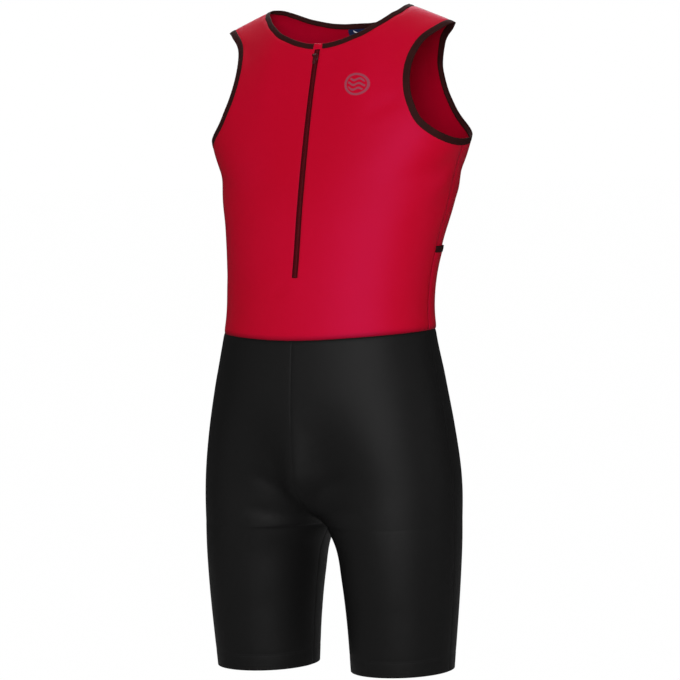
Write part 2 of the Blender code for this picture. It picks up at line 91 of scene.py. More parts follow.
# height, half width, front, back, where the side seam lies, how square the section is
bodyColumns = ("height", "halfWidth", "front", "back", "seamY", "square")
bodyTable = (
    (-0.893, 0.175, 0.084, 0.088, -0.090, 2.10),
    (-0.790, 0.183, 0.096, 0.098, -0.086, 2.10),
    (-0.700, 0.187, 0.100, 0.107, -0.082, 2.10),
    (-0.640, 0.187, 0.107, 0.117, -0.079, 2.10),
    (-0.570, 0.179, 0.112, 0.122, -0.077, 2.10),
    (-0.500, 0.167, 0.111, 0.115, -0.073, 2.10),
    (-0.430, 0.153, 0.108, 0.101, -0.067, 2.10),
    (-0.410, 0.151, 0.107, 0.096, -0.064, 2.10),
    (-0.365, 0.152, 0.107, 0.090, -0.056, 2.10),
    (-0.315, 0.158, 0.109, 0.093, -0.042, 2.15),
    (-0.270, 0.167, 0.113, 0.100, -0.028, 2.20),
    (-0.220, 0.176, 0.112, 0.108, -0.016, 2.25),
    (-0.185, 0.188, 0.103, 0.109, -0.015, 2.30),
    (-0.150, 0.200, 0.096, 0.106, -0.012, 2.30),
)
legColumns = ("height", "inner", "front", "back")
legTable = (
    (-0.893, 0.034, 0.072, 0.074),
    (-0.830, 0.031, 0.078, 0.082),
    (-0.770, 0.025, 0.084, 0.091),
    (-0.725, 0.017, 0.087, 0.097),
    (-0.693, 0.002, 0.089, 0.101),
    (-0.640, -0.014, 0.090, 0.104),
    (-0.600, -0.034, 0.092, 0.107),
    (-0.500, -0.080, 0.092, 0.107),
)
armholeColumns = ("arch", "front", "back")
armholeTable = (
    (0.00, 0.188, 0.188),
    (0.04, 0.174, 0.170),
    (0.11, 0.155, 0.145),
    (0.23, 0.139, 0.124),
    (0.40, 0.130, 0.117),
    (0.60, 0.136, 0.133),
    (0.80, 0.157, 0.158),
    (0.90, 0.1645, 0.1650),
    (0.96, 0.1675, 0.1675),
    (0.985, 0.1680, 0.1680),
    (1.00, 0.1680, 0.1680),
)
neckColumns = ("x", "front", "back")
neckTable = (
    (0.000, 0.487, 0.600),
    (0.023, 0.500, 0.605),
    (0.051, 0.542, 0.640),
    (0.080, 0.628, 0.727),
    (0.100, 0.752, 0.850),
    (0.110, 0.872, 0.938),
    (0.114, 1.000, 1.000),
)


def readTable(table, columns, name, at):
    # a smooth cubic through the rows, with slopes from their neighbours
    rows = np.array(table, float)
    key, value = rows[:, 0], rows[:, columns.index(name)]
    slope = np.gradient(value, key)
    at = np.clip(np.asarray(at, float), key[0], key[-1])
    i = np.clip(np.searchsorted(key, at, side="right") - 1, 0, len(key) - 2)
    step = key[i + 1] - key[i]
    t = (at - key[i]) / step
    return (
        value[i] * (1 + 2 * t) * (1 - t) ** 2
        + slope[i] * step * t * (1 - t) ** 2
        + value[i + 1] * t * t * (3 - 2 * t)
        + slope[i + 1] * step * t * t * (t - 1)
    )


def body(name, height):
    # one column of the body table, at a height
    return readTable(bodyTable, bodyColumns, name, height)


def leg(name, height):
    # one column of the leg table, at a height
    return readTable(legTable, legColumns, name, height)


def softStep(start, end, at):
    # 3 t^2 - 2 t^3: 0 at the start, 1 at the end, level at both
    t = np.clip((at - start) / (end - start), 0, 1)
    return t * t * (3 - 2 * t)


def unit(vectors):
    # each vector divided by its own length
    return vectors / np.maximum(np.linalg.norm(vectors, axis=-1, keepdims=True), 1e-12)


def stack(*parts):
    # x, y and z arrays as one array of points
    return np.stack(np.broadcast_arrays(*parts), axis=-1)


def sectionPoint(angle, height, side):
    # superellipse of a level: reach = ((sin/halfWidth)^n + (cos/depth)^n)^(-1/n)
    over, ahead = np.sin(angle), np.cos(angle)
    n = body("square", height)
    reach = (
        (np.abs(over) / body("halfWidth", height)) ** n + (np.abs(ahead) / body(side, height)) ** n
    ) ** (-1 / n)
    forward = -1 if side == "front" else 1
    bell = np.exp(-(((height - form["waist"]) / form["waistSagReach"]) ** 2))
    sag = form["waistSag"] * ahead**2 * bell * (side == "front")
    return stack(reach * over, body("seamY", height) + forward * reach * ahead, height - sag)


def angleAt(x, side, height=form["underarm"]):
    # the angle whose point stands x from the middle
    n = body("square", height)
    share = np.clip(x / body("halfWidth", height), 0, 1)
    return np.arctan2(x, body(side, height) * (1 - share**n) ** (1 / n))


def archPoint(angle, arch, side):
    # a cubic from the underarm level up over the shoulder: it starts with the body's slope, ends level
    foot = sectionPoint(angle, form["underarm"], side)
    rise = (foot - sectionPoint(angle, form["underarm"] - 0.002, side)) / 0.002
    x = foot[..., 0]
    fall = np.hypot(x, form["ridgeRound"]) - math.hypot(form["neckPoint"], form["ridgeRound"])
    top = stack(x, 0 * x, form["shoulder"] - form["shoulderSlope"] * fall)
    forward = -1 if side == "front" else 1
    first = foot + rise * form["archRise"]
    start, end, tighter = form["archTighter"]
    run = form["archRun"] * (1 - tighter * softStep(start, end, x))
    level = run * np.minimum(1, np.abs(foot[..., 1]) / run / 2)
    last = top + stack(0 * x, forward * level, 0 * x)
    t = np.asarray(arch, float)[..., None]
    return (
        foot * (1 - t) ** 3 + 3 * first * t * (1 - t) ** 2 + 3 * last * t * t * (1 - t) + top * t**3
    )


def torsoPoint(angle, level, side):
    # sections below the underarm, arches above it; level is measured up from the underarm
    low = sectionPoint(angle, form["underarm"] + np.minimum(level, 0), side)
    high = archPoint(angle, np.clip(level, 0, None) / shoulderLevel, side)
    return np.where(np.asarray(level)[..., None] < 0, low, high)


def shortsPoint(turn, height, side):
    # hips turn into two leg ovals; turn runs from the middle seam or inseam (0) to the side seam (1)
    hips = sectionPoint(turn * math.pi / 2, height, side)
    fall = np.clip((form["forkStart"] - height) / (form["forkStart"] - form["crotch"]), 0, 1)
    seam = 1 - np.sqrt(1 - fall**2)
    outside = softStep(-form["hipToLeg"][0], -form["hipToLeg"][1], -height)
    split = seam + (outside - seam) * softStep(0, 0.6, turn)
    inner = np.maximum(leg("inner", height), 0) * (height < form["crotch"])
    outer = body("halfWidth", height)
    soft = form["legMerge"] * (1 - seam) * (turn < 0.5)
    swell = (np.sqrt(np.sin(math.pi * turn) ** 2 + soft**2) - soft) / (np.sqrt(1 + soft**2) - soft)
    swell = swell * np.where(turn < 0, -1, 1) ** (seam == 1)
    x = (outer + inner) / 2 - (outer - inner) / 2 * np.cos(math.pi * turn)
    forward = -1 if side == "front" else 1
    legs = stack(x, body("seamY", height) + forward * leg(side, height) * swell, height)
    return hips + (legs - hips) * split[..., None]


def outward(surface, first, second, side):
    # unit normal: the cross product of a small step in each parameter
    step = 0.0005
    a = surface(first + step, second, side) - surface(first - step, second, side)
    b = surface(first, second + step, side) - surface(first, second - step, side)
    normal = np.cross(a, b)
    return unit(normal if side == "front" else -normal)


# Each one runs from one point to another, with how deep it is (a trough is negative) and how wide.

creases = {
    "list": (
        # under the arms, front and back
        ((0.188, -0.030, -0.205), (0.120, -0.100, -0.235), -0.0013, 0.012),
        ((0.186, -0.020, -0.222), (0.135, -0.088, -0.262), 0.0009, 0.010),
        ((0.178, -0.030, -0.250), (0.128, -0.095, -0.300), -0.0009, 0.013),
        ((-0.188, -0.032, -0.208), (-0.124, -0.098, -0.228), -0.0011, 0.011),
        ((-0.186, -0.022, -0.226), (-0.132, -0.090, -0.270), 0.0008, 0.011),
        ((0.186, 0.000, -0.210), (0.120, 0.070, -0.240), -0.0014, 0.013),
        ((0.176, 0.010, -0.240), (0.100, 0.072, -0.270), 0.0009, 0.012),
        ((-0.186, 0.002, -0.212), (-0.116, 0.072, -0.236), -0.0012, 0.012),
        ((-0.176, 0.012, -0.244), (-0.096, 0.072, -0.282), 0.0010, 0.013),
        # from the chest to the armhole and off the shoulder
        ((0.128, -0.080, -0.118), (0.084, -0.094, -0.140), -0.0008, 0.012),
        ((-0.128, -0.080, -0.122), (-0.086, -0.094, -0.148), -0.0007, 0.013),
        ((0.136, -0.040, -0.035), (0.110, -0.062, -0.060), -0.0006, 0.011),
        ((-0.138, -0.038, -0.033), (-0.112, -0.060, -0.064), -0.0006, 0.012),
        ((0.122, 0.056, -0.070), (0.060, 0.076, -0.105), -0.0010, 0.015),
        ((-0.122, 0.056, -0.074), (-0.050, 0.078, -0.112), -0.0009, 0.014),
        # round the waist
        ((0.148, -0.070, -0.352), (0.080, -0.150, -0.366), -0.0010, 0.011),
        ((0.152, -0.050, -0.388), (0.070, -0.155, -0.398), 0.0007, 0.012),
        ((-0.148, -0.072, -0.358), (-0.070, -0.152, -0.376), -0.0010, 0.012),
        ((-0.014, -0.163, -0.362), (-0.040, -0.160, -0.384), -0.0006, 0.009),
        ((0.010, -0.163, -0.364), (0.036, -0.162, -0.378), -0.0005, 0.009),
        ((-0.120, 0.010, -0.300), (0.060, 0.050, -0.312), -0.0013, 0.014),
        ((-0.040, 0.050, -0.286), (0.130, 0.010, -0.292), 0.0009, 0.013),
        ((0.030, 0.052, -0.318), (0.140, 0.000, -0.322), -0.0010, 0.011),
        # the fan round the crotch, and over the seat
        ((0.004, -0.150, -0.655), (0.070, -0.172, -0.620), -0.0020, 0.011),
        ((0.006, -0.130, -0.680), (0.082, -0.172, -0.668), -0.0018, 0.010),
        ((-0.004, -0.150, -0.655), (-0.068, -0.172, -0.626), -0.0021, 0.011),
        ((-0.006, -0.130, -0.680), (-0.080, -0.172, -0.676), -0.0017, 0.010),
        ((0.000, -0.172, -0.590), (0.020, -0.178, -0.545), -0.0011, 0.013),
        ((0.006, 0.000, -0.680), (0.080, 0.030, -0.655), -0.0020, 0.012),
        ((-0.006, 0.000, -0.682), (-0.078, 0.030, -0.662), -0.0020, 0.012),
        ((0.010, 0.030, -0.640), (0.100, 0.040, -0.610), -0.0016, 0.014),
        ((-0.012, 0.030, -0.636), (-0.096, 0.040, -0.602), -0.0014, 0.014),
        # at the back of the thighs and above the hems
        ((0.060, 0.010, -0.745), (0.160, -0.040, -0.752), -0.0010, 0.014),
        ((-0.062, 0.010, -0.755), (-0.158, -0.040, -0.748), -0.0010, 0.013),
        ((0.050, -0.150, -0.800), (0.150, -0.150, -0.812), -0.0006, 0.016),
        ((-0.060, -0.155, -0.790), (-0.150, -0.150, -0.800), -0.0006, 0.015),
        # down the hips
        ((0.160, -0.060, -0.470), (0.120, -0.150, -0.500), -0.0008, 0.015),
        ((-0.160, -0.060, -0.476), (-0.118, -0.150, -0.512), -0.0008, 0.015),
    ),
    "amount": 1.2,
    "fullHalf": 0.2,
    "fadeWidth": 0.28,
}


def creased(points, normals):
    # each crease adds depth * exp(-(distance / width)^2), fading out towards its ends
    shift = np.zeros(points.shape[:-1])
    for start, end, depth, width in creases["list"]:
        start, run = np.array(start), np.array(end) - np.array(start)
        long = run @ run
        along = ((points - start) @ run) / long
        away = points - start - np.clip(along, 0, 1)[..., None] * run
        far = np.linalg.norm(away, axis=-1)
        past = np.clip(np.abs(along - 0.5) - creases["fullHalf"], 0, None)
        fade = np.exp(-((past / creases["fadeWidth"]) ** 2))
        shift += depth * np.exp(-((far / width) ** 2)) * fade
    return points + normals * (shift * creases["amount"])[..., None]


def socketOf(nodes, links, kind, *inputs, **settings):
    # one Math node: numbers and sockets in, its value out
    node = nodes.new("ShaderNodeMath")
    node.operation = kind
    node.use_clamp = settings.get("clamp", False)
    for i, value in enumerate(inputs):
        if isinstance(value, (int, float)):
            node.inputs[i].default_value = value
        else:
            links.new(value, node.inputs[i])
    return node.outputs[0]


def mixed(nodes, links, factor, first, second):
    # first * (1 - factor) + second * factor, as colours
    node = nodes.new("ShaderNodeMix")
    node.data_type = "RGBA"
    for socket, value in ((node.inputs[0], factor), (node.inputs[6], first), (node.inputs[7], second)):
        if isinstance(value, float):
            socket.default_value = value
        elif isinstance(value, tuple):
            socket.default_value = (*value, 1)
        else:
            links.new(value, socket)
    return node.outputs[2]


def blankMaterial(name, settings):
    # a Principled material with its gloss set and no pattern yet
    made = bpy.data.materials.new(name)
    made.use_nodes = True
    nodes, links = made.node_tree.nodes, made.node_tree.links
    shader = nodes["Principled BSDF"]
    shader.inputs["Roughness"].default_value = settings["roughness"]
    shader.inputs["Specular IOR Level"].default_value = settings["gloss"]
    shader.inputs["Specular Tint"].default_value = (*settings.get("glossTint", (1, 1, 1)), 1)
    made.diffuse_color = (*settings["colour"], 1)
    return made, nodes, links, shader


def uvParts(nodes, links):
    # the cloth's own two coordinates, in metres
    uv = nodes.new("ShaderNodeUVMap")
    uv.uv_map = "cloth"
    parts = nodes.new("ShaderNodeSeparateXYZ")
    links.new(uv.outputs[0], parts.inputs[0])
    return parts.outputs[0], parts.outputs[1]


def noiseAt(nodes, links, scale, detail=2.0):
    # noise in the piece's own space, with scale patches to a metre
    place = nodes.new("ShaderNodeTexCoord")
    noise = nodes.new("ShaderNodeTexNoise")
    noise.inputs["Scale"].default_value = scale
    noise.inputs["Detail"].default_value = detail
    links.new(place.outputs["Object"], noise.inputs["Vector"])
    return noise.outputs["Fac"]


def bumped(nodes, links, shader, height, distance, strength):
    # tilts the normal by the slope of a height, distance metres high
    bump = nodes.new("ShaderNodeBump")
    bump.inputs["Strength"].default_value = strength
    bump.inputs["Distance"].default_value = distance
    links.new(height, bump.inputs["Height"])
    links.new(bump.outputs[0], shader.inputs["Normal"])


knit = {"climb": 1.3, "purlClimb": 0.25, "ribShare": 0.75, "power": 0.7}


def knitHeight(nodes, links, wale, course, purl):
    # plain knit: chevrons that climb both ways from the middle of each wale, with a groove between wales
    op = partial(socketOf, nodes, links)
    u, v = uvParts(nodes, links)
    across = op("FRACT", op("DIVIDE", u, wale))
    fromMiddle = op("ABSOLUTE", op("SUBTRACT", across, 0.5))
    climb = op("MULTIPLY", fromMiddle, knit["purlClimb"] if purl else knit["climb"])
    phase = op("FRACT", op("ADD", op("DIVIDE", v, course), climb))
    yarn = op("SINE", op("MULTIPLY", phase, math.pi))
    rib = op("SINE", op("MULTIPLY", fromMiddle, math.pi if purl else 2 * math.pi))
    ribbed = op("MULTIPLY_ADD", rib, knit["ribShare"], 1 - knit["ribShare"])
    return op("POWER", op("MULTIPLY", yarn, ribbed), knit["power"])


def printMask(nodes, links, motif):
    # a round chest print: a thin ring with three waves in it, from the cloth's own coordinates
    op = partial(socketOf, nodes, links)
    u, v = uvParts(nodes, links)
    p = op("DIVIDE", op("SUBTRACT", u, motif["u"]), motif["halfWidth"])
    q = op("DIVIDE", op("SUBTRACT", v, motif["v"]), motif["halfHeight"])
    r = op("SQRT", op("ADD", op("MULTIPLY", p, p), op("MULTIPLY", q, q)))

    def under(value, edge, soft=0.04):
        return op("DIVIDE", op("SUBTRACT", edge + soft / 2, value), soft, clamp=True)

    ring = under(op("ABSOLUTE", op("SUBTRACT", r, 1 - motif["ring"] / 2)), motif["ring"] / 2)
    wave = op("MULTIPLY", op("SINE", op("MULTIPLY", p, motif["turns"])), motif["swing"])
    rows = op("FRACT", op("ADD", op("DIVIDE", op("SUBTRACT", q, wave), motif["pitch"]), 0.5))
    bars = under(op("ABSOLUTE", op("SUBTRACT", rows, 0.5)), motif["bar"], 0.06)
    inside = op("MULTIPLY", under(r, motif["inner"]), under(op("ABSOLUTE", q), 1.5 * motif["pitch"]))
    return op("MAXIMUM", ring, op("MULTIPLY", bars, inside))


def toned(nodes, links, settings, detail=2.0):
    # between the deep and the full colour, by slow noise
    tone = noiseAt(nodes, links, settings["patch"], detail)
    return mixed(nodes, links, tone, settings["deep"], settings["colour"])


def jersey(name, settings, motif=None, purl=False):
    # toned cloth with its print, with painted shade in the knit's grooves and painted shade near seams
    made, nodes, links, shader = blankMaterial(name, settings)
    op = partial(socketOf, nodes, links)
    height = knitHeight(nodes, links, settings["wale"], settings["course"], purl)
    colour, relief = toned(nodes, links, settings), height
    if motif:
        mark = printMask(nodes, links, motif)
        colour = mixed(nodes, links, mark, colour, motif["colour"])
        relief = op("MAXIMUM", height, op("MULTIPLY", mark, motif["relief"]))
    # painted shade in the knit's grooves: darker where the knit is low
    grooveShade = op("MULTIPLY_ADD", height, -settings["grooveShade"], settings["grooveShade"])
    colour = mixed(nodes, links, grooveShade, colour, (0.0, 0.0, 0.0))
    # painted shade near seams: the seam attribute mixes the cloth towards a dark shade colour
    seam = nodes.new("ShaderNodeAttribute")
    seam.attribute_name = "seamShade"
    dark = op("MULTIPLY", seam.outputs["Fac"], settings["seamShadeStrength"])
    colour = mixed(nodes, links, dark, colour, settings["seamShadeColour"])
    links.new(colour, shader.inputs["Base Color"])
    bumped(nodes, links, shader, relief, settings["relief"], settings["bump"])
    return made


def bindingCloth(name, settings):
    # fine ribs across the band, with slow patches of lighter and darker tone, and painted shade between the
    # ribs
    made, nodes, links, shader = blankMaterial(name, settings)
    op = partial(socketOf, nodes, links)
    u, v = uvParts(nodes, links)
    rib = op("SINE", op("MULTIPLY", u, 2 * math.pi / settings["rib"]))
    row = op("SINE", op("MULTIPLY", v, 2 * math.pi / settings["row"]))
    height = op("ADD", op("MULTIPLY", op("MULTIPLY", rib, row), 0.5), 0.5)
    colour = toned(nodes, links, settings, 3.0)
    # painted shade between the ribs: darker where they are low
    grooveShade = op("MULTIPLY_ADD", height, -settings["grooveShade"], settings["grooveShade"])
    links.new(mixed(nodes, links, grooveShade, colour, (0.0, 0.0, 0.0)), shader.inputs["Base Color"])
    bumped(nodes, links, shader, height, settings["relief"], settings["bump"])
    return made


grain = {"patch": 900.0, "relief": 0.0001, "bump": 0.5}
mould = {"patch": 220.0, "grain": 1800.0, "relief": 0.00006, "bump": 0.35}


def thread(name, settings):
    # two tones and a relief that follow one fine noise
    made, nodes, links, shader = blankMaterial(name, settings)
    tone = noiseAt(nodes, links, grain["patch"], 1.0)
    links.new(mixed(nodes, links, tone, settings["deep"], settings["colour"]), shader.inputs["Base Color"])
    bumped(nodes, links, shader, tone, grain["relief"], grain["bump"])
    return made


def moulded(name, settings):
    # plastic: two close tones and a finer grain
    made, nodes, links, shader = blankMaterial(name, settings)
    links.new(toned(nodes, links, dict(settings, patch=mould["patch"]), 4.0), shader.inputs["Base Color"])
    bumped(nodes, links, shader, noiseAt(nodes, links, mould["grain"]), mould["relief"], mould["bump"])
    return made


redCloth = {
    "colour": (0.570, 0.0016, 0.023),
    "deep": (0.510, 0.0006, 0.008),
    "roughness": 0.50,
    "gloss": 0.20,
    "glossTint": (0.65, 0.20, 1.0),
    "wale": 0.00085,
    "course": 0.00065,
    "grooveShade": 0.16,
    "patch": 5.0,
    # painted shade along seams: how strong it is and its dark colour
    "seamShadeStrength": 0.80,
    "seamShadeColour": (0.13, 0.001, 0.004),
    "relief": 0.00012,
    "bump": 0.45,
}
blackCloth = dict(
    redCloth,
    colour=(0.0072, 0.0070, 0.0070),
    deep=(0.0056, 0.0055, 0.0056),
    roughness=0.48,
    gloss=0.12,
    glossTint=(1.0, 1.0, 1.0),
    seamShadeColour=(0.002, 0.002, 0.002),
)
chestPrint = {
    "u": 0.0945,
    "v": 0.0819,
    "halfWidth": 0.0211,
    "halfHeight": 0.0140,
    "ring": 0.20,
    "inner": 0.70,
    "pitch": 0.42,
    "bar": 0.24,
    "swing": 0.10,
    "turns": 7.0,
    "relief": 1.1,
    "colour": (0.33, 0.060, 0.090),
}
redFace = jersey("redJerseyFront", redCloth, chestPrint)
redPlain = jersey("redJersey", redCloth)
# the inside is a little deeper red than the face: partly its own purl side and partly painted shade of the
# suit's inside
redInside = jersey(
    "redJerseyInside",
    dict(redCloth, colour=(0.50, 0.001, 0.024), deep=(0.42, 0.001, 0.012), bump=0.6),
    purl=True,
)
blackFace = jersey("blackJersey", blackCloth)
blackInside = jersey("blackJerseyInside", dict(blackCloth, bump=0.6), purl=True)
# near-black is the binding's own colour; the warm red-brown tint in it is painted reflection of the red
# jersey
trim = bindingCloth("darkBinding", {
    "colour": (0.044, 0.0085, 0.0080), "deep": (0.018, 0.004, 0.004), "roughness": 0.72, "gloss": 0.08,
    "rib": 0.0011, "row": 0.0011, "grooveShade": 0.30, "patch": 60.0, "relief": 0.00012, "bump": 0.5,
})
tapeCloth = bindingCloth("zipTape", {
    "colour": (0.075, 0.0012, 0.0045), "deep": (0.045, 0.0008, 0.003), "roughness": 0.70, "gloss": 0.06,
    "rib": 0.0007, "row": 0.0009, "grooveShade": 0.35, "patch": 80.0, "relief": 0.0001, "bump": 0.6,
})
coilPlastic = moulded("zipCoil", {
    "colour": (0.120, 0.0016, 0.0060), "deep": (0.080, 0.001, 0.004), "roughness": 0.45, "gloss": 0.15,
})
sliderFinish = moulded("sliderFinish", {
    "colour": (0.060, 0.004, 0.006), "deep": (0.035, 0.003, 0.004), "roughness": 0.40, "gloss": 0.30,
})
redThread = thread("redThread", {
    "colour": (0.30, 0.003, 0.010), "deep": (0.16, 0.001, 0.005), "roughness": 0.60, "gloss": 0.2,
})
blackThread = thread("blackThread", {
    "colour": (0.020, 0.020, 0.021), "deep": (0.010, 0.010, 0.010), "roughness": 0.60, "gloss": 0.2,
})
trimThread = thread("trimThread", {
    "colour": (0.060, 0.016, 0.015), "deep": (0.030, 0.009, 0.009), "roughness": 0.60, "gloss": 0.2,
})
print("materials made")


def addMesh(name, points, faces, materials, uv=None, seam=None, materialIndex=None, sharp=0.7):
    # whole arrays of points and faces into a mesh, with its UV map and its attribute for the painted shade
    # near seams
    points = np.asarray(points, float).reshape(-1, 3)
    faces = np.asarray(faces, np.int64)
    sides = faces.shape[1]
    mesh = bpy.data.meshes.new(name)
    mesh.vertices.add(len(points))
    mesh.vertices.foreach_set("co", points.astype(np.float32).ravel())
    mesh.loops.add(faces.size)
    mesh.loops.foreach_set("vertex_index", faces.ravel().astype(np.int32))
    mesh.polygons.add(len(faces))
    mesh.polygons.foreach_set("loop_start", np.arange(0, faces.size, sides, dtype=np.int32))
    mesh.polygons.foreach_set("use_smooth", np.ones(len(faces), bool))
    if materialIndex is not None:
        mesh.polygons.foreach_set("material_index", np.asarray(materialIndex, np.int32))
    mesh.update(calc_edges=True)
    if uv is not None:
        layer = mesh.uv_layers.new(name="cloth")
        layer.data.foreach_set("uv", np.asarray(uv, np.float32).reshape(-1, 2)[faces.ravel()].ravel())
    if seam is not None:
        layer = mesh.attributes.new("seamShade", "FLOAT", "POINT")
        layer.data.foreach_set("value", np.asarray(seam, np.float32).ravel())
    for material in materials:
        mesh.materials.append(material)
    mesh.set_sharp_from_angle(angle=sharp)
    piece = bpy.data.objects.new(name, mesh)
    scene.collection.objects.link(piece)
    return piece


def gridFaces(rows, columns, cells=None):
    # quads of a grid of points, only where cells is true
    index = np.arange(rows * columns).reshape(rows, columns)
    quads = np.stack([index[:-1, :-1], index[:-1, 1:], index[1:, 1:], index[1:, :-1]], axis=-1)
    return quads.reshape(-1, 4) if cells is None else quads[cells]


def tubeFaces(rings, sides, ringsMeet=False, sidesMeet=True):
    # quads between neighbouring rings, which meet again where a path or a ring is closed
    rows, columns = (rings if ringsMeet else rings - 1), (sides if sidesMeet else sides - 1)
    i, j = np.meshgrid(np.arange(rows), np.arange(columns), indexing="ij")
    ahead, beside = (i + 1) % rings, (j + 1) % sides
    quads = np.stack([i * sides + j, i * sides + beside, ahead * sides + beside, ahead * sides + j], -1)
    return quads.reshape(-1, 4)


def outwardFaces(points, faces):
    # a closed mesh's signed volume, the sum of (a x b) . c, is positive when its faces point out
    a, b, c, d = (points[faces[:, k]] - points.mean(0) for k in range(4))
    volume = (np.cross(a, b) * c).sum() + (np.cross(a, c) * d).sum()
    return faces if volume > 0 else faces[:, ::-1]


def clothPiece(name, points, faces, materials, uv, seam, wall=form["wall"], rim=0.0004):
    # an open sheet of quads, given its wall by Solidify and soft edges by Bevel
    used, faces = np.unique(faces, return_inverse=True)
    faces = faces.reshape(-1, 4)
    points = points.reshape(-1, 3)[used]
    piece = addMesh(name, points, faces, materials, uv.reshape(-1, 2)[used], seam.ravel()[used])
    solid = piece.modifiers.new("wall", "SOLIDIFY")
    solid.thickness = wall
    solid.offset = -1
    solid.material_offset = 1 if len(materials) > 1 else 0
    soft = piece.modifiers.new("softEdge", "BEVEL")
    soft.width = rim
    soft.segments = 2
    soft.limit_method = "ANGLE"
    soft.angle_limit = 1.0
    return piece


def ready(piece, bodyName, slotName, *nodes):
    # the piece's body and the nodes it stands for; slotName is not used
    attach(piece, bodyName)
    if nodes:
        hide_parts(*nodes)
    return piece


def lengths(points, axis):
    # distance along a grid of points, from its first row or column
    steps = np.linalg.norm(np.diff(points, axis=axis), axis=-1)
    start = np.zeros_like(np.take(steps, [0], axis=axis))
    return np.concatenate([start, np.cumsum(steps, axis=axis)], axis=axis)


def spacedStations(path, pitch, closed=False):
    # even stations along a path, as a float index into it
    if closed:
        path = np.concatenate([path, path[:1]])
    run = lengths(path, 0)
    count = max(2, int(round(run[-1] / pitch)))
    return np.interp((np.arange(count) + 0.5) / count * run[-1], run, np.arange(len(path)))


def pathAt(values, index, closed=False):
    # the two nearest rows, mixed by how far the index is between them
    if closed:
        values = np.concatenate([values, values[:1]])
    low = np.clip(index.astype(int), 0, len(values) - 2)
    share = (index - low)[:, None]
    return values[low] * (1 - share) + values[low + 1] * share


stitchShape = {
    "along": (-0.5, -0.42, -0.2, 0.2, 0.42, 0.5),
    "thick": (0.15, 0.75, 1.0, 1.0, 0.75, 0.15),
    "wobble": ((0.12, 7.3), (0.08, 2.1)),
}


def stitchRun(path, normals, settings, closed=False):
    # a row of short arched threads: each is a tapered tube of six sides carried along a small arc
    index = spacedStations(path, settings["pitch"], closed)
    middle = pathAt(path, index, closed)
    up = unit(pathAt(normals, index, closed))
    step = np.roll(path, -1, axis=0) - path if closed else np.gradient(path, axis=0)
    way = unit(pathAt(step, index, closed))
    if settings.get("crosswise"):
        way = unit(np.cross(up, way))
    side = unit(np.cross(up, way))
    wobble = sum(size * np.sin(rate * np.arange(len(index))) for size, rate in stitchShape["wobble"])
    along = np.array(stitchShape["along"])
    thick = np.array(stitchShape["thick"]) * settings["radius"]
    rise = settings["lift"] - settings["arch"] * (2 * along) ** 2
    turn = np.linspace(0, 2 * math.pi, 6, endpoint=False)
    centre = (
        middle[:, None]
        + way[:, None] * (along * settings["length"])[None, :, None] * (1 + 0.3 * wobble)[:, None, None]
        + up[:, None] * rise[None, :, None]
        + side[:, None] * (wobble * settings["radius"])[:, None, None]
    )
    ring = (
        side[:, None, None] * (np.cos(turn) * thick[:, None])[None, :, :, None]
        + up[:, None, None] * (np.sin(turn) * thick[:, None])[None, :, :, None]
    )
    points = centre[:, :, None] + ring
    count, rings, sides = points.shape[:3]
    first = (np.arange(count) * rings * sides)[:, None, None]
    last = first + (rings - 1) * sides
    low, high = np.array([[3, 2, 1, 0], [5, 4, 3, 0]]), np.array([[0, 1, 2, 3], [0, 3, 4, 5]])
    parts = (first + tubeFaces(rings, sides), first + low, last + high)
    return points.reshape(-1, 3), np.concatenate([part.reshape(-1, 4) for part in parts])


def joinRuns(name, runs, material, slotName):
    # every closed run as one piece on the suit
    points = np.concatenate([run[0] for run in runs])
    starts = np.cumsum([0] + [len(run[0]) for run in runs[:-1]])
    faces = np.concatenate([run[1] + start for run, start in zip(runs, starts)])
    return ready(addMesh(name, points, outwardFaces(points, faces), [material]), "suit", slotName)


torsoRows = {"levels": (24, 8), "fanned": 40, "armhole": 104, "neck": {"front": 48, "back": 40}}
torsoColumns = 60
# roll dents the cloth at its seams; the other widths and the side amount set the painted shade along them
seamLook = {"roll": 0.0009, "rollWidth": 0.0026, "seamShadeWidth": 0.0021, "waistSeamShadeWidth": 0.0040,
            "sideShare": 0.45, "sideSeamShade": 0.40}
edgeLook = {"roll": 0.0004, "rollWidth": 0.0040}
girthPerAngle = 0.15  # metres of cloth to a radian, for the knit and the print


def edgeStations(angle, level, rows, side):
    # even steps along a curve on the torso, as angle and level
    run = lengths(torsoPoint(angle, level, side), 0)
    shares = np.linspace(0, run[-1], rows + 1)[1:]
    return np.stack([np.interp(shares, run, angle), np.interp(shares, run, level)], 1)


def middleEdge(middle, start, end, rows, side):
    # a line that stays one distance from the middle, as it goes up
    level = np.linspace(start, end, 120)
    angle = angleAt(middle, side, form["underarm"] + np.minimum(level, 0))
    return edgeStations(angle, level, rows, side)


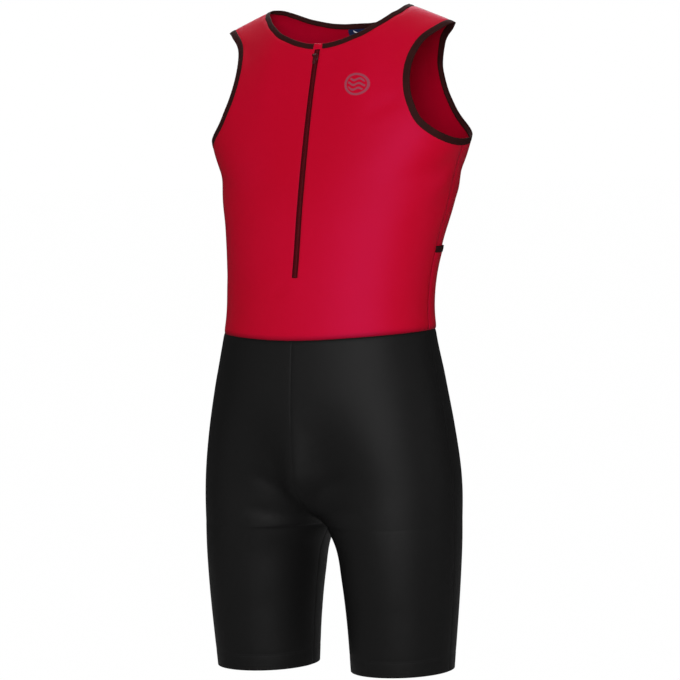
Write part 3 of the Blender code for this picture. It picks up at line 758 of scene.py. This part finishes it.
def torsoHalf(side, middle):
    # rows run straight, in angle and level, from the middle and neckline to the side seam and armhole
    levels = np.array([form["waist"], form["zipEnd"], form["pocketTop"]]) - form["underarm"]
    fan = form["fan"] - form["underarm"]
    neckX = np.linspace(middle, form["neckPoint"], 200)
    neckLevel = readTable(neckTable, neckColumns, side, neckX) * shoulderLevel
    arch = np.linspace(0, 1, 400)
    armAngle = angleAt(readTable(armholeTable, armholeColumns, side, arch), side)
    neckRows = torsoRows["neck"][side]
    low, mid = torsoRows["levels"]
    inner = np.concatenate([
        [[angleAt(middle, side, form["waist"]), levels[0]]],
        middleEdge(middle, levels[0], levels[1], low, side),
        middleEdge(middle, levels[1], levels[2], mid, side),
        middleEdge(middle, levels[2], fan, torsoRows["fanned"], side),
        middleEdge(middle, fan, neckLevel[0], torsoRows["armhole"] - neckRows, side),
        edgeStations(angleAt(neckX, side), neckLevel, neckRows, side),
    ])
    outerLevel = np.concatenate([
        np.linspace(levels[0], levels[1], low + 1),
        np.linspace(levels[1], levels[2], mid + 1)[1:],
        np.linspace(levels[2], 0, torsoRows["fanned"] + 1)[1:],
    ])
    inner[: low + mid + 1, 1] = outerLevel[: low + mid + 1]
    outer = np.concatenate([
        np.stack([np.full(len(outerLevel), math.pi / 2), outerLevel], 1),
        edgeStations(armAngle, arch * shoulderLevel, torsoRows["armhole"], side),
    ])
    out = np.linspace(0, 1, torsoColumns + 1)[None, :, None]
    angle, level = np.moveaxis(inner[:, None] + (outer - inner)[:, None] * out, -1, 0)
    normals = outward(torsoPoint, angle, level, side)
    normals[-1, :, 1] = 0
    return torsoPoint(angle, level, side), unit(normals), angle, level


zipRow = torsoRows["levels"][0]
pocketRow = sum(torsoRows["levels"])
underarmRow = pocketRow + torsoRows["fanned"]
neckRow = {side: underarmRow + torsoRows["armhole"] - rows for side, rows in torsoRows["neck"].items()}
flipped = np.array([-1, 1, 1])


def torsoPanel(side, middle):
    # one half, dented at its seams and under its bindings, then mirrored
    points, normals, angle, level = torsoHalf(side, middle)
    acrossRows, upColumns = lengths(points, 1), lengths(points, 0)
    toSide = acrossRows[:, -1:] - acrossRows
    toShoulder = upColumns[-1:] - upColumns
    rows = np.arange(len(points))[:, None]
    besideSeam = np.where(rows <= underarmRow, np.minimum(toShoulder, toSide), toShoulder)
    bound = np.where(rows >= underarmRow, toSide, 1.0)
    bound = np.where(rows >= neckRow[side], np.minimum(bound, acrossRows), bound)
    points = creased(points, normals)
    waistDent = np.exp(-((upColumns / seamLook["rollWidth"]) ** 2))
    sideDent = np.exp(-((besideSeam / seamLook["rollWidth"]) ** 2)) * seamLook["sideShare"]
    dent = seamLook["roll"] * np.maximum(waistDent, sideDent)
    dent += edgeLook["roll"] * np.exp(-((bound / edgeLook["rollWidth"]) ** 2))
    points = points - normals * dent[..., None]
    # painted shade along the waist seam, and weaker along the side and shoulder seams
    seamShading = np.maximum(
        np.exp(-((upColumns / seamLook["waistSeamShadeWidth"]) ** 2)),
        np.exp(-((besideSeam / seamLook["seamShadeWidth"]) ** 2)) * seamLook["sideSeamShade"],
    )
    uv = np.stack([angle * girthPerAngle, level], -1)
    return points, normals, seamShading, uv


def bothHalves(points, normals, seamShading, uv):
    # a half and its mirror image, side by side
    return (
        np.concatenate([points[:, ::-1] * flipped, points], 1),
        np.concatenate([normals[:, ::-1] * flipped, normals], 1),
        np.concatenate([seamShading[:, ::-1], seamShading], 1),
        np.concatenate([uv[:, ::-1] * (-1, 1), uv], 1),
    )


halfZip = form["zipOpening"] / 2
frontHalf = torsoPanel("front", halfZip)
backHalf = torsoPanel("back", 0.0)
front, back = bothHalves(*frontHalf), bothHalves(*backHalf)

# the front's middle cells are open above the zip's end
cells = np.ones(np.array(front[0].shape[:2]) - 1, bool)
cells[zipRow:, torsoColumns] = False
faces = gridFaces(*front[0].shape[:2], cells)
frontPanel = clothPiece("frontPanel", front[0], faces, [redFace, redInside], front[3], front[2])

# the back's two middle columns are one, up to the neckline
index = np.arange(back[0].shape[0] * back[0].shape[1]).reshape(back[0].shape[:2])
index[: neckRow["back"] + 1, torsoColumns] = index[: neckRow["back"] + 1, torsoColumns + 1]
cells = np.ones(np.array(back[0].shape[:2]) - 1, bool)
cells[:, torsoColumns] = False
faces = index.ravel()[gridFaces(*back[0].shape[:2], cells)][:, ::-1]
backPanel = clothPiece("backPanel", back[0], faces, [redPlain, redInside], back[3], back[2])
print("torso made")


# the pocket stands off the back, most of all at the middle of its mouth
pocket = {"sewnOff": 0.0006, "off": 0.0018, "edgeStand": 0.0010, "mouthStand": 0.0012}
share = np.linspace(0, 1, pocketRow + 1)[:, None, None]
bulge = np.sin(np.linspace(0, math.pi, back[0].shape[1]))[None, :, None] ** 0.5
stand = (pocket["sewnOff"] + (pocket["off"] - pocket["sewnOff"]) * bulge) + share**2 * (
    pocket["edgeStand"] * (0.3 + 0.7 * bulge) + pocket["mouthStand"] * bulge
)
under, pocketOut, pocketSeamShading, pocketUv = (part[: pocketRow + 1] for part in back)
pocketPoints = under + pocketOut * stand
faces = gridFaces(pocketRow + 1, back[0].shape[1], cells[:pocketRow])
faces = index[: pocketRow + 1].ravel()[faces][:, ::-1]
backPocket = clothPiece(
    "backPocket", pocketPoints, faces, [redPlain, redInside], pocketUv + (0.3, 0.0), pocketSeamShading
)


bindings = {
    "wall": 0.0025,
    "overlap": 0.0012,
    "stitchIn": 0.0019,
    "dent": 0.00035,
    "gather": 0.00012,
    "gatherPitch": 0.0042,
    "insideShare": 0.38,
    "square": (0.55, 0.60),
    "dentWidth": 0.0007,
    "slowGather": (0.6, 0.0071),
    "neckWidth": 0.0068,
    "armholeWidth": 0.0088,
    "pocketWidth": 0.0082,
}
bandStitch = {"pitch": 0.0029, "length": 0.0021, "radius": 0.00020, "arch": 0.00022}
bandRuns = []


def bandPiece(name, path, normals, width, turned, closed, material=None, wall=None):
    # a folded tape: a squared oval, dented along its stitching, carried along an edge
    path, normals = np.asarray(path), unit(np.asarray(normals))
    if closed:
        tangent = unit(np.roll(path, -1, axis=0) - np.roll(path, 1, axis=0))
    else:
        tangent = unit(np.gradient(path, axis=0))
    sideways = unit(np.cross(tangent, normals)) * turned
    run = lengths(path, 0)
    wall = wall or bindings["wall"]
    overlap, inside = bindings["overlap"], bindings["insideShare"]
    turn = np.linspace(0, 2 * math.pi, 24, endpoint=False)
    cosine, sine = np.cos(turn), np.sin(turn)
    reach = width + overlap
    out = -overlap + reach / 2 + reach / 2 * np.sign(cosine) * np.abs(cosine) ** bindings["square"][0]
    up = wall / 2 * np.sign(sine) * np.abs(sine) ** bindings["square"][1]
    sewnAt = width - bindings["stitchIn"]
    up = up - bindings["dent"] * np.sign(sine) * np.exp(-(((out - sewnAt) / bindings["dentWidth"]) ** 2))
    out = np.where(sine < -0.01, (out + overlap) * inside - overlap, out)
    share, slow = bindings["slowGather"]
    wave = np.sin(run * 2 * math.pi / bindings["gatherPitch"]) + share * np.sin(run * 2 * math.pi / slow)
    swell = 1 + bindings["gather"] / (wall / 2) * wave
    middle = path - normals * form["wall"] / 2
    points = (
        middle[:, None]
        + sideways[:, None] * out[None, :, None]
        + normals[:, None] * (up[None, :] * swell[:, None])[..., None]
    )
    count, sides = points.shape[:2]
    faces = tubeFaces(count, sides, closed)
    if not closed:
        ladder = np.arange(sides // 2 - 1)
        rung = np.stack([ladder, ladder + 1, (sides - 2 - ladder) % sides, (sides - 1 - ladder) % sides], -1)
        faces = np.concatenate([faces, rung[:, ::-1], rung + (count - 1) * sides])
    faces = outwardFaces(points.reshape(-1, 3), faces)
    uv = stack(run[:, None], np.cumsum(np.full(sides, 2 * reach / sides))[None])
    piece = addMesh(name, points, faces, [material or trim], uv, sharp=1.2)
    high = wall / 2 * 0.98 - bindings["dent"]
    within = (sewnAt + overlap) * inside - overlap
    runs = [
        stitchRun(middle + sideways * sewnAt, normals, dict(bandStitch, lift=high), closed),
        stitchRun(middle + sideways * within, -normals, dict(bandStitch, lift=high), closed),
    ]
    return piece, runs


def joined(frontEdge, backEdge):
    # up the front edge and down the back one, with their shared point once
    return np.concatenate([frontEdge, backEdge[-2::-1]])


neck = joined(frontHalf[0][neckRow["front"]:, 0], backHalf[0][neckRow["back"]:, 0])
neckOut = joined(frontHalf[1][neckRow["front"]:, 0], backHalf[1][neckRow["back"]:, 0])
neck = np.concatenate([neck, neck[-2::-1] * flipped])
neckOut = np.concatenate([neckOut, neckOut[-2::-1] * flipped])
# the neck's binding ends just under the zip's guard
guard = {"half": 0.0070, "tuck": 0.0004, "width": 0.0078, "wall": 0.0024}
beside = 40  # points of the neckline that are searched beside the zip
keep = np.ones(len(neck), bool)
keep[:beside] = lengths(neck[:beside], 0) >= guard["half"] - halfZip - guard["tuck"]
keep[-beside:] = keep[:beside][::-1]
neckBinding, runs = bandPiece("neckBinding", neck[keep], neckOut[keep], bindings["neckWidth"], -1, False)
bandRuns += runs

arm = joined(frontHalf[0][underarmRow:, -1], backHalf[0][underarmRow + 1:, -1])
armOut = joined(frontHalf[1][underarmRow:, -1], backHalf[1][underarmRow + 1:, -1])
armholeBindings = []
for name, turn in (("Left", 1), ("Right", -1)):
    mirror, width = (turn, 1, 1), bindings["armholeWidth"]
    piece, runs = bandPiece("armholeBinding" + name, arm * mirror, armOut * mirror, width, turn, True)
    armholeBindings.append(piece)
    bandRuns += runs

mouth = np.delete(pocketPoints[-1], torsoColumns, axis=0)
mouthOut = np.delete(pocketOut[-1], torsoColumns, axis=0)
pocketBinding, runs = bandPiece("pocketBinding", mouth, mouthOut, bindings["pocketWidth"], 1, False)
bandRuns.append(runs[0])
print("bindings made")


shortsLook = {
    "columns": 64,
    "hipRows": 60,
    "forkRows": 44,
    "legRows": 72,
    "hemStitch": (0.020, 0.0235),
    "hemColumn": 30,
    "hemDent": (0.0003, 0.0218, 0.0030),
    "seamShadeStrength": 0.25,
    "girth": 0.24,
}
crotchRow = shortsLook["hipRows"] + shortsLook["forkRows"]


def shortsPanel(side):
    # rows go down, columns go out from the middle seam or inseam to the side seam
    fork = np.sin(np.linspace(0, math.pi / 2, shortsLook["forkRows"] + 1)[1:])
    heights = np.concatenate([
        np.linspace(form["waist"], form["forkStart"], shortsLook["hipRows"] + 1),
        form["forkStart"] + (form["crotch"] - form["forkStart"]) * fork,
        np.linspace(form["crotch"], form["hem"], shortsLook["legRows"] + 1)[1:],
    ])
    turn, height = np.meshgrid(np.linspace(0, 1, shortsLook["columns"] + 1), heights)
    points = shortsPoint(turn, height, side)
    normals = outward(shortsPoint, turn, height, side)
    normals[: crotchRow + 1, 0, 0] = 0
    normals[crotchRow, 0] = (0, 0, -1)
    normals = unit(normals)
    acrossRows, downColumns = lengths(points, 1), lengths(points, 0)
    toSeam = np.minimum(acrossRows, acrossRows[:, -1:] - acrossRows)
    points = creased(points, normals)
    hemAway = downColumns[-1:] - downColumns
    waistDent = np.exp(-((downColumns / seamLook["rollWidth"]) ** 2))
    sideDent = np.exp(-((toSeam / seamLook["rollWidth"]) ** 2)) * seamLook["sideShare"]
    dent = seamLook["roll"] * np.maximum(waistDent, sideDent)
    deep, hemAt, wide = shortsLook["hemDent"]
    dent += deep * np.exp(-(((hemAway - hemAt) / wide) ** 2))
    points = points - normals * dent[..., None]
    points[..., 0] = np.maximum(points[..., 0], 0)
    # painted shade along the shorts' seams and at their waist
    seamShading = np.exp(-((np.minimum(toSeam, downColumns) / seamLook["seamShadeWidth"]) ** 2)) * shortsLook["seamShadeStrength"]
    uv = np.stack([turn * shortsLook["girth"], height], -1)
    return points, normals, seamShading, uv, hemAway


shortsParts = {side: shortsPanel(side) for side in ("front", "back")}
shorts, hemRuns = {}, []
hemStitch = {"pitch": 0.0031, "length": 0.0023, "radius": 0.00021, "lift": 0.00010, "arch": 0.00024}
for side, (points, normals, seamShading, uv, hemAway) in shortsParts.items():
    for name, turn in (("Left", 1), ("Right", -1)):
        mirror = (turn, 1, 1)
        faces = gridFaces(*points.shape[:2])
        if (side == "front") == (turn == 1):
            faces = faces[:, ::-1]
        key = "shorts" + side.capitalize() + name
        shorts[key] = clothPiece(
            key, points * mirror, faces, [blackFace, blackInside],
            uv + ((0.0, 0.0) if side == "front" else (0.5, 0.0)), seamShading,
        )
        for away in shortsLook["hemStitch"]:
            row = int(np.argmin(np.abs(hemAway[:, shortsLook["hemColumn"]] - away)))
            hemRuns.append(stitchRun(points[row] * mirror, normals[row] * mirror, hemStitch))
print("shorts made")


# short threads that cross the groove of every seam
seamStitch = {"pitch": 0.0022, "length": 0.0026, "radius": 0.00017, "lift": -0.00035, "arch": 0.0002,
              "crosswise": True}


def seamRun(line, way, closed=False):
    # threads along a seam; the way they stand out is one vector, or one for each point
    return stitchRun(line, np.broadcast_to(way, line.shape), seamStitch, closed)


redRuns, blackRuns = [], []
legPoints = shortsParts["front"][0]
for turn in (1, -1):
    mirror = (turn, 1, 1)
    redRuns.append(seamRun(frontHalf[0][: underarmRow + 1, -1] * mirror, (turn, 0, 0)))
    redRuns.append(seamRun(frontHalf[0][-1] * mirror, frontHalf[1][-1] * mirror))
    blackRuns.append(seamRun(legPoints[:, -1] * mirror, (turn, 0, 0)))
    blackRuns.append(seamRun(legPoints[crotchRow + 1:, 0] * mirror, (-turn, 0, 0)))
for points, normals in (part[:2] for part in shortsParts.values()):
    blackRuns.append(seamRun(points[: crotchRow + 1, 0], normals[: crotchRow + 1, 0]))
waist, waistOut = (np.concatenate([front[k][0], back[k][0][::-1]]) for k in (0, 1))
redRuns.append(seamRun(waist, waistOut, closed=True))
joinRuns("redSeamThreads", redRuns, redThread, "red_jersey")
joinRuns("blackSeamThreads", blackRuns, blackThread, "black_jersey")
joinRuns("hemThreads", hemRuns, blackThread, "black_jersey")
joinRuns("bindingThreads", bandRuns, trimThread, "dark_binding")
print("seams made")


zipLook = {
    "tapeWall": 0.0009,
    "tapeSink": 0.0004,
    "gap": 0.0002,
    "coilWidth": 0.0037,
    "coilPitch": 0.00125,
    "coilRadius": 0.00050,
    "coilEnds": (0.001, 0.002),
    "tuck": 0.0002,
    "sewnOut": 0.0016,
    "sliderDrop": 0.0125,
}
zipStart = form["zipEnd"] - form["underarm"]
zipTop = float(readTable(neckTable, neckColumns, "front", halfZip)) * shoulderLevel


def zipLine(x, level):
    # points and normals of the creased front, x from its middle
    height = form["underarm"] + np.minimum(level, 0)
    angle = angleAt(np.abs(x), "front", height)
    mirror = stack(np.sign(x), np.ones_like(x), np.ones_like(x))
    points, normals = torsoPoint(angle, level, "front"), outward(torsoPoint, angle, level, "front")
    return creased(points * mirror, normals * mirror), normals * mirror


tapes = []
for name, turn in (("Left", 1), ("Right", -1)):
    columns = np.linspace(zipLook["gap"] / 2, halfZip + zipLook["tuck"], 9) * turn
    x, level = np.meshgrid(columns, np.linspace(zipStart, zipTop, 240))
    points, normals = zipLine(x, level)
    points = points - normals * zipLook["tapeSink"]
    faces = gridFaces(*points.shape[:2])
    tape = clothPiece(
        "zipTape" + name, points, faces if turn > 0 else faces[:, ::-1], [tapeCloth],
        np.stack([x, level], -1), np.zeros(x.shape), wall=zipLook["tapeWall"], rim=0.0002,
    )
    tapes.append(tape)

# the coil: threads across the middle, each a little to one side of the next
level = np.linspace(zipStart + zipLook["coilEnds"][0], zipTop - zipLook["coilEnds"][1], 400)
line, out = zipLine(np.full(level.shape, 1e-6), level)
line[:, 0] = 0
out = unit(out * (0, 1, 1))
coil = {"pitch": zipLook["coilPitch"], "length": zipLook["coilWidth"], "radius": zipLook["coilRadius"],
        "lift": -0.0002, "arch": 0.0003, "crosswise": True}
zipCoil = joinRuns("zipCoil", [stitchRun(line, out, coil)], coilPlastic, "zip_tape")

# stitching down both sides of the slit, and a short bar of crosswise threads at its foot
slit = frontHalf[0][zipRow: neckRow["front"] + 1, 0] + np.array([zipLook["sewnOut"], 0, 0])
slitOut = frontHalf[1][zipRow: neckRow["front"] + 1, 0]
slitStitch = {"pitch": 0.0027, "length": 0.0020, "radius": 0.00017, "lift": 0.00005, "arch": 0.0002}
slitRuns = [stitchRun(slit * (turn, 1, 1), slitOut * (turn, 1, 1), slitStitch) for turn in (1, -1)]
tack = frontHalf[0][zipRow, 0] * (0, 1, 1) + np.array([[0, 0, -0.0005], [0, 0, -0.0030]])
tackOut = np.tile(unit(frontHalf[1][zipRow, 0] * (0, 1, 1)), (2, 1))
tackStitch = dict(slitStitch, pitch=0.0004, length=0.0086, crosswise=True, lift=0.0001)
slitRuns.append(stitchRun(tack, tackOut, tackStitch))
slitThreads = joinRuns("slitThreads", slitRuns, redThread, "red_jersey")

# the guard: a folded end of the red cloth over the zip's top
guardX = np.linspace(-guard["half"], guard["half"], 25)
guardY, guardZ = (np.interp(np.abs(guardX), neck[:beside, 0], neck[:beside, k]) for k in (1, 2))
guardOut = np.tile(unit(neckOut[0] * (0, 1, 1)), (len(guardX), 1))
zipGuard = bandPiece(
    "zipGuard", stack(guardX, guardY, guardZ), guardOut, guard["width"], -1, False,
    material=redPlain, wall=guard["wall"],
)[0]
print("zip made")


# the slider's own axes: across, up the zip and out of the cloth
slider = {
    "size": (0.0076, 0.0090, 0.0020),
    "pinUp": 0.0022,
    "pinOut": 0.0040,
    "pinRadius": 0.0006,
    "lugRadius": 0.0019,
    "lugWall": 0.0008,
    "pullWidth": 0.0042,
    "pullLength": 0.0130,
    "pullWall": 0.0012,
    "eyeRadius": 0.0014,
    "gap": 0.0003,
    "lid": (0.5, 0.6),
}
levels = np.linspace(zipStart, zipTop, 2000)
middleLine = torsoPoint(np.zeros(levels.shape), levels, "front")
topHeight = frontHalf[0][neckRow["front"], 0, 2]
sliderLevel = np.interp(topHeight - zipLook["sliderDrop"], middleLine[:, 2], levels)
outWay = outward(torsoPoint, np.array([0.0]), np.array([sliderLevel]), "front")[0]
outWay = unit(outWay * (0, 1, 1))
upWay = unit(np.cross(outWay, (1.0, 0, 0)))
upWay = upWay * math.copysign(1, upWay[2])
axes = np.array([(1.0, 0, 0), upWay, outWay])
# the cross bar lies on the pull's hinge
hinge = np.array(frame["joints"][0]["pos_m"])
place = hinge - slider["pinUp"] * upWay - slider["pinOut"] * outWay


def pillow(size, centre, square, rows=24, sides=40, taper=0.0):
    # a superellipsoid: each axis is half its size times signed powers of sine and cosine
    lat, turn = np.meshgrid(
        np.linspace(-math.pi / 2, math.pi / 2, rows), np.linspace(0, 2 * math.pi, sides, endpoint=False),
        indexing="ij",
    )

    def power(value, n):
        return np.sign(value) * np.abs(value) ** n

    flat = power(np.cos(lat), slider["lid"][0])
    y = flat * power(np.sin(turn), square)
    x = flat * power(np.cos(turn), square) * (1 + taper * y)
    local = stack(x, y, power(np.sin(lat), slider["lid"][1])) * np.array(size) / 2 + np.array(centre)
    return local.reshape(-1, 3), tubeFaces(rows, sides)


def tubeAcross(inner, outer, start, end, centre, sides=28):
    # a short tube along the zip's crosswise axis: a rounded ring profile turned once round
    ease = min(outer - inner, end - start) * (0.25 if inner else 0.3)
    rim = [(start, outer - ease), (start + ease, outer), (end - ease, outer), (end, outer - ease)]
    if inner:
        rim += [(end, inner + ease), (end - ease, inner), (start + ease, inner)]
        profile = [(start, inner + ease), *rim]
    else:
        profile = [(start, 1e-5), *rim, (end, 1e-5)]
    profile = np.array(profile)
    turn = np.linspace(0, 2 * math.pi, sides, endpoint=False)
    local = stack(
        profile[None, :, 0] + 0 * turn[:, None],
        centre[0] + profile[None, :, 1] * np.cos(turn)[:, None],
        centre[1] + profile[None, :, 1] * np.sin(turn)[:, None],
    )
    return local.reshape(-1, 3), tubeFaces(sides, len(profile), True, bool(inner))


def hardPiece(name, parts, bodyName, node):
    # closed shapes set in place, each point at place + local @ axes, with their poles welded shut
    points = [place + local @ axes for local, quads in parts]
    starts = np.cumsum([0] + [len(part) for part in points[:-1]])
    faces = [outwardFaces(part, quads) + start for part, (local, quads), start in zip(points, parts, starts)]
    piece = addMesh(name, np.concatenate(points), np.concatenate(faces), [sliderFinish])
    weld = piece.modifiers.new("closedPoles", "WELD")
    weld.merge_threshold = 0.00003
    return ready(piece, bodyName, "slider_plastic", node)


pin = (slider["pinUp"], slider["pinOut"])
lugX = slider["pullWidth"] / 2 + slider["gap"]
sliderParts = [
    pillow(slider["size"], (0, 0, slider["size"][2] / 2 + slider["gap"]), 0.55, taper=0.12),
    tubeAcross(0, slider["lugRadius"], lugX, lugX + slider["lugWall"], pin),
    tubeAcross(0, slider["lugRadius"], -lugX - slider["lugWall"], -lugX, pin),
    tubeAcross(0, slider["pinRadius"], -lugX - 0.0004, lugX + 0.0004, pin),
]
hardPiece("zipSlider", sliderParts, "suit", "zip_slider")
half = slider["pullWidth"] / 2
pullTop = slider["pinUp"] - slider["pinRadius"] - 0.0005
pullFoot = slider["pinUp"] - slider["pullLength"]
tabSize = (slider["pullWidth"], pullTop - pullFoot, slider["pullWall"])
tabCentre = (0, (pullTop + pullFoot) / 2, slider["pinOut"])
ridgeSize = (slider["pullWidth"] * 0.55, tabSize[1] * 0.62, slider["pullWall"] * 1.35)
pullParts = [
    pillow(tabSize, tabCentre, 0.42),
    pillow(ridgeSize, (0, tabCentre[1] - 0.0006, slider["pinOut"]), 0.6),
    tubeAcross(slider["pinRadius"] + 0.0002, slider["eyeRadius"], -half, half, pin),
]
hardPiece("zipPull", pullParts, "pull_tab", "zip_pull")
print("slider made")


label = {"width": 0.034, "height": 0.020, "drop": 0.0005, "off": 0.0016, "hang": 0.0006, "wall": 0.0007}


def wovenLabel(name, settings):
    # satin weave in navy, with a pale woven chevron and bar
    made, nodes, links, shader = blankMaterial(name, settings)
    op = partial(socketOf, nodes, links)
    u, v = uvParts(nodes, links)
    waves = [op("SINE", op("MULTIPLY", part, settings["weave"])) for part in (u, v)]
    height = op("MULTIPLY_ADD", op("MULTIPLY", *waves), 0.5, 0.5)
    (slope, peak, chevronHalf), (barAt, barHalf) = settings["chevron"], settings["bar"]
    slant = op("SUBTRACT", op("MULTIPLY", op("ABSOLUTE", u), slope), op("SUBTRACT", v, peak))
    chevron = op("LESS_THAN", op("ABSOLUTE", slant), chevronHalf)
    bar = op("LESS_THAN", op("ABSOLUTE", op("SUBTRACT", v, barAt)), barHalf)
    narrow = op("LESS_THAN", op("ABSOLUTE", u), settings["markHalf"])
    mark = op("MULTIPLY", op("MAXIMUM", chevron, bar), narrow)
    colour = mixed(nodes, links, mark, toned(nodes, links, settings), settings["mark"])
    links.new(colour, shader.inputs["Base Color"])
    bumped(nodes, links, shader, height, settings["relief"], settings["bump"])
    return made


navy = wovenLabel("navyLabel", {
    "colour": (0.008, 0.022, 0.085), "deep": (0.005, 0.013, 0.055), "mark": (0.70, 0.74, 0.80),
    "roughness": 0.55, "gloss": 0.25, "patch": 300.0, "weave": 9000.0, "relief": 0.00008, "bump": 0.5,
    "chevron": (0.55, 0.0030, 0.0011), "bar": (0.0005, 0.0008), "markHalf": 0.0085,
})
backTop = backHalf[0][neckRow["back"], 0, 2]
backLevels = np.linspace(-0.02, shoulderLevel, 2000)
backLine = torsoPoint(np.zeros(backLevels.shape), backLevels, "back")
upLabel = np.linspace(0, 1, 21)[:, None]
rowHeights = backTop - label["drop"] - label["height"] * (1 - upLabel[:, 0])
rowLevels = np.interp(rowHeights, backLine[:, 2], backLevels)
x, level = np.meshgrid(np.linspace(-label["width"] / 2, label["width"] / 2, 35), rowLevels)
angle = angleAt(np.abs(x), "back")
mirror = stack(np.where(x < 0, -1.0, 1.0), np.ones_like(x), np.ones_like(x))
labelOut = outward(torsoPoint, angle, level, "back") * mirror
labelPoints = torsoPoint(angle, level, "back") * mirror
hang = label["hang"] * np.cos(x / label["width"] * math.pi) * (1 - upLabel)
labelPoints = labelPoints - labelOut * (form["wall"] + label["off"] + hang)[..., None]
neckLabel = clothPiece(
    "neckLabel", labelPoints, gridFaces(*x.shape), [navy], stack(x, label["height"] * (upLabel - 0.5)),
    np.zeros(x.shape), wall=label["wall"], rim=0.0002,
)
ready(neckLabel, "suit", "navy_label", "neck_label")
print("label made")


sewn = (
    (frontPanel, "red_jersey", "front_panel"),
    (backPanel, "red_jersey", "back_panel"),
    (backPocket, "red_jersey", "back_pocket"),
    (pocketBinding, "dark_binding", "pocket_binding"),
    (neckBinding, "dark_binding", "neck_binding"),
    (armholeBindings[0], "dark_binding", "armhole_binding_left"),
    (armholeBindings[1], "dark_binding", "armhole_binding_right"),
    (tapes[0], "zip_tape", "zip_tape_left"),
    (tapes[1], "zip_tape", "zip_tape_right"),
    (zipGuard, "red_jersey", "zip_guard"),
)
for piece, slotName, node in sewn:
    ready(piece, "suit", slotName, node)
for key, piece in shorts.items():
    side, name = ("front", key[11:]) if "Front" in key else ("back", key[10:])
    ready(piece, "suit", "black_jersey", f"shorts_{side}_{name.lower()}")

# the flat cut is a tenth narrower than the worn panel, which is how far the jersey stretches round; the loop
# below only states these shares and stores them nowhere
for key, piece in shorts.items():
    0.102 if "Front" in key else 0.106


view = {
    "azimuth": 28.3,
    "elevation": 4.5,
    "distance": 4.5,
    "target": (0.0, -0.06, -0.44),
    "roll": 0.0396,
    "aim": (0.01050, -0.00657),
    "lens": 173.4,
}


def wayTo(azimuth, elevation):
    # unit vector away from the suit; azimuth 0 is in front of it
    a, e = math.radians(azimuth), math.radians(elevation)
    return np.array([math.sin(a) * math.cos(e), -math.cos(a) * math.cos(e), math.sin(e)])


def setUp(name, data, *columns):
    # an object whose right, up and backward axes and place are the columns of its matrix
    made = bpy.data.objects.new(name, data)
    matrix = np.eye(4)
    matrix[:3] = np.stack(columns, axis=1)
    scene.collection.objects.link(made)
    made.matrix_world = [list(row) for row in matrix.T]
    return made


def splitByCamera(tree, output, hidden, seen, share=1.0):
    # the camera sees hidden * (1 - share) + seen * share, and light meets hidden alone
    nodes, links = tree.nodes, tree.links
    lightPath = nodes.new("ShaderNodeLightPath")
    mix = nodes.new("ShaderNodeMixShader")
    links.new(socketOf(nodes, links, "MULTIPLY", lightPath.outputs["Is Camera Ray"], share), mix.inputs[0])
    links.new(hidden.outputs[0], mix.inputs[1])
    links.new(seen.outputs[0], mix.inputs[2])
    links.new(mix.outputs[0], nodes[output].inputs[0])


backward = wayTo(view["azimuth"], view["elevation"])
a = math.radians(view["azimuth"])
right = np.array([math.cos(a), math.sin(a), 0.0])
up = np.cross(backward, right)
c, s = math.cos(view["roll"]), math.sin(view["roll"])
rolledRight, rolledUp = c * right - s * up, s * right + c * up
eye = np.array(view["target"]) + backward * view["distance"]
eye = eye + rolledRight * view["aim"][0] + rolledUp * view["aim"][1]
camera = setUp("camera", bpy.data.cameras.new("camera"), rolledRight, rolledUp, backward, eye)
camera.data.lens = view["lens"]
camera.data.sensor_width = 36.0
camera.data.clip_start, camera.data.clip_end = 0.1, 100.0
scene.camera = camera

stage = {
    "floorHeight": -1.30,
    "floorSize": 60.0,
    "floorTone": 0.30,
    "floorGlow": 0.997,
    "world": 0.08,
}
floorCorners = np.array([(-0.5, -0.5), (0.5, -0.5), (0.5, 0.5), (-0.5, 0.5)]) * stage["floorSize"]
floorPoints = stack(*floorCorners.T, stage["floorHeight"])
floorMaterial = bpy.data.materials.new("paleFloor")
floorMaterial.use_nodes = True
nodes = floorMaterial.node_tree.nodes
floorShader = nodes["Principled BSDF"]
floorShader.inputs["Base Color"].default_value = (*[stage["floorTone"]] * 3, 1)
floorShader.inputs["Roughness"].default_value = 0.9
floorShader.inputs["Specular IOR Level"].default_value = 0.1
glow = nodes.new("ShaderNodeEmission")
glow.inputs[1].default_value = 1.0
splitByCamera(floorMaterial.node_tree, "Material Output", floorShader, glow, stage["floorGlow"])
floor = addMesh("floor", floorPoints, np.array([[0, 1, 2, 3]]), [floorMaterial])
floor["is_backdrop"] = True

world = bpy.data.worlds.new("studio")
world.use_nodes = True
scene.world = world
nodes = world.node_tree.nodes
fill = nodes["Background"]
fill.inputs[0].default_value = (1, 1, 1, 1)
fill.inputs[1].default_value = stage["world"]
seen = nodes.new("ShaderNodeBackground")
seen.inputs[0].default_value = (1, 1, 1, 1)
seen.inputs[1].default_value = 1.0
splitByCamera(world.node_tree, "World Output", fill, seen)

lamps = (
    # name, azimuth, elevation, distance, size, watts
    ("key", 26, 14, 3.8, 2.2, 120.0),
    ("fill", -42, 6, 3.8, 2.0, 17.0),
    ("side", 95, 8, 3.8, 2.0, 20.0),
    ("back", 208, 55, 3.8, 3.0, 150.0),
)
for name, azimuth, elevation, distance, size, watts in lamps:
    way = wayTo(azimuth, elevation)
    side = unit(np.cross((0, 0, 1.0), way))
    place = np.array(view["target"]) + way * distance
    lamp = setUp(name, bpy.data.lights.new(name, "AREA"), side, np.cross(way, side), way, place)
    lamp.data.shape = "DISK"
    lamp.data.size = size
    lamp.data.energy = watts
print("stage made")

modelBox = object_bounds()
str([[list(map(float, corner)) for corner in box] for box in (cadBox, modelBox)])
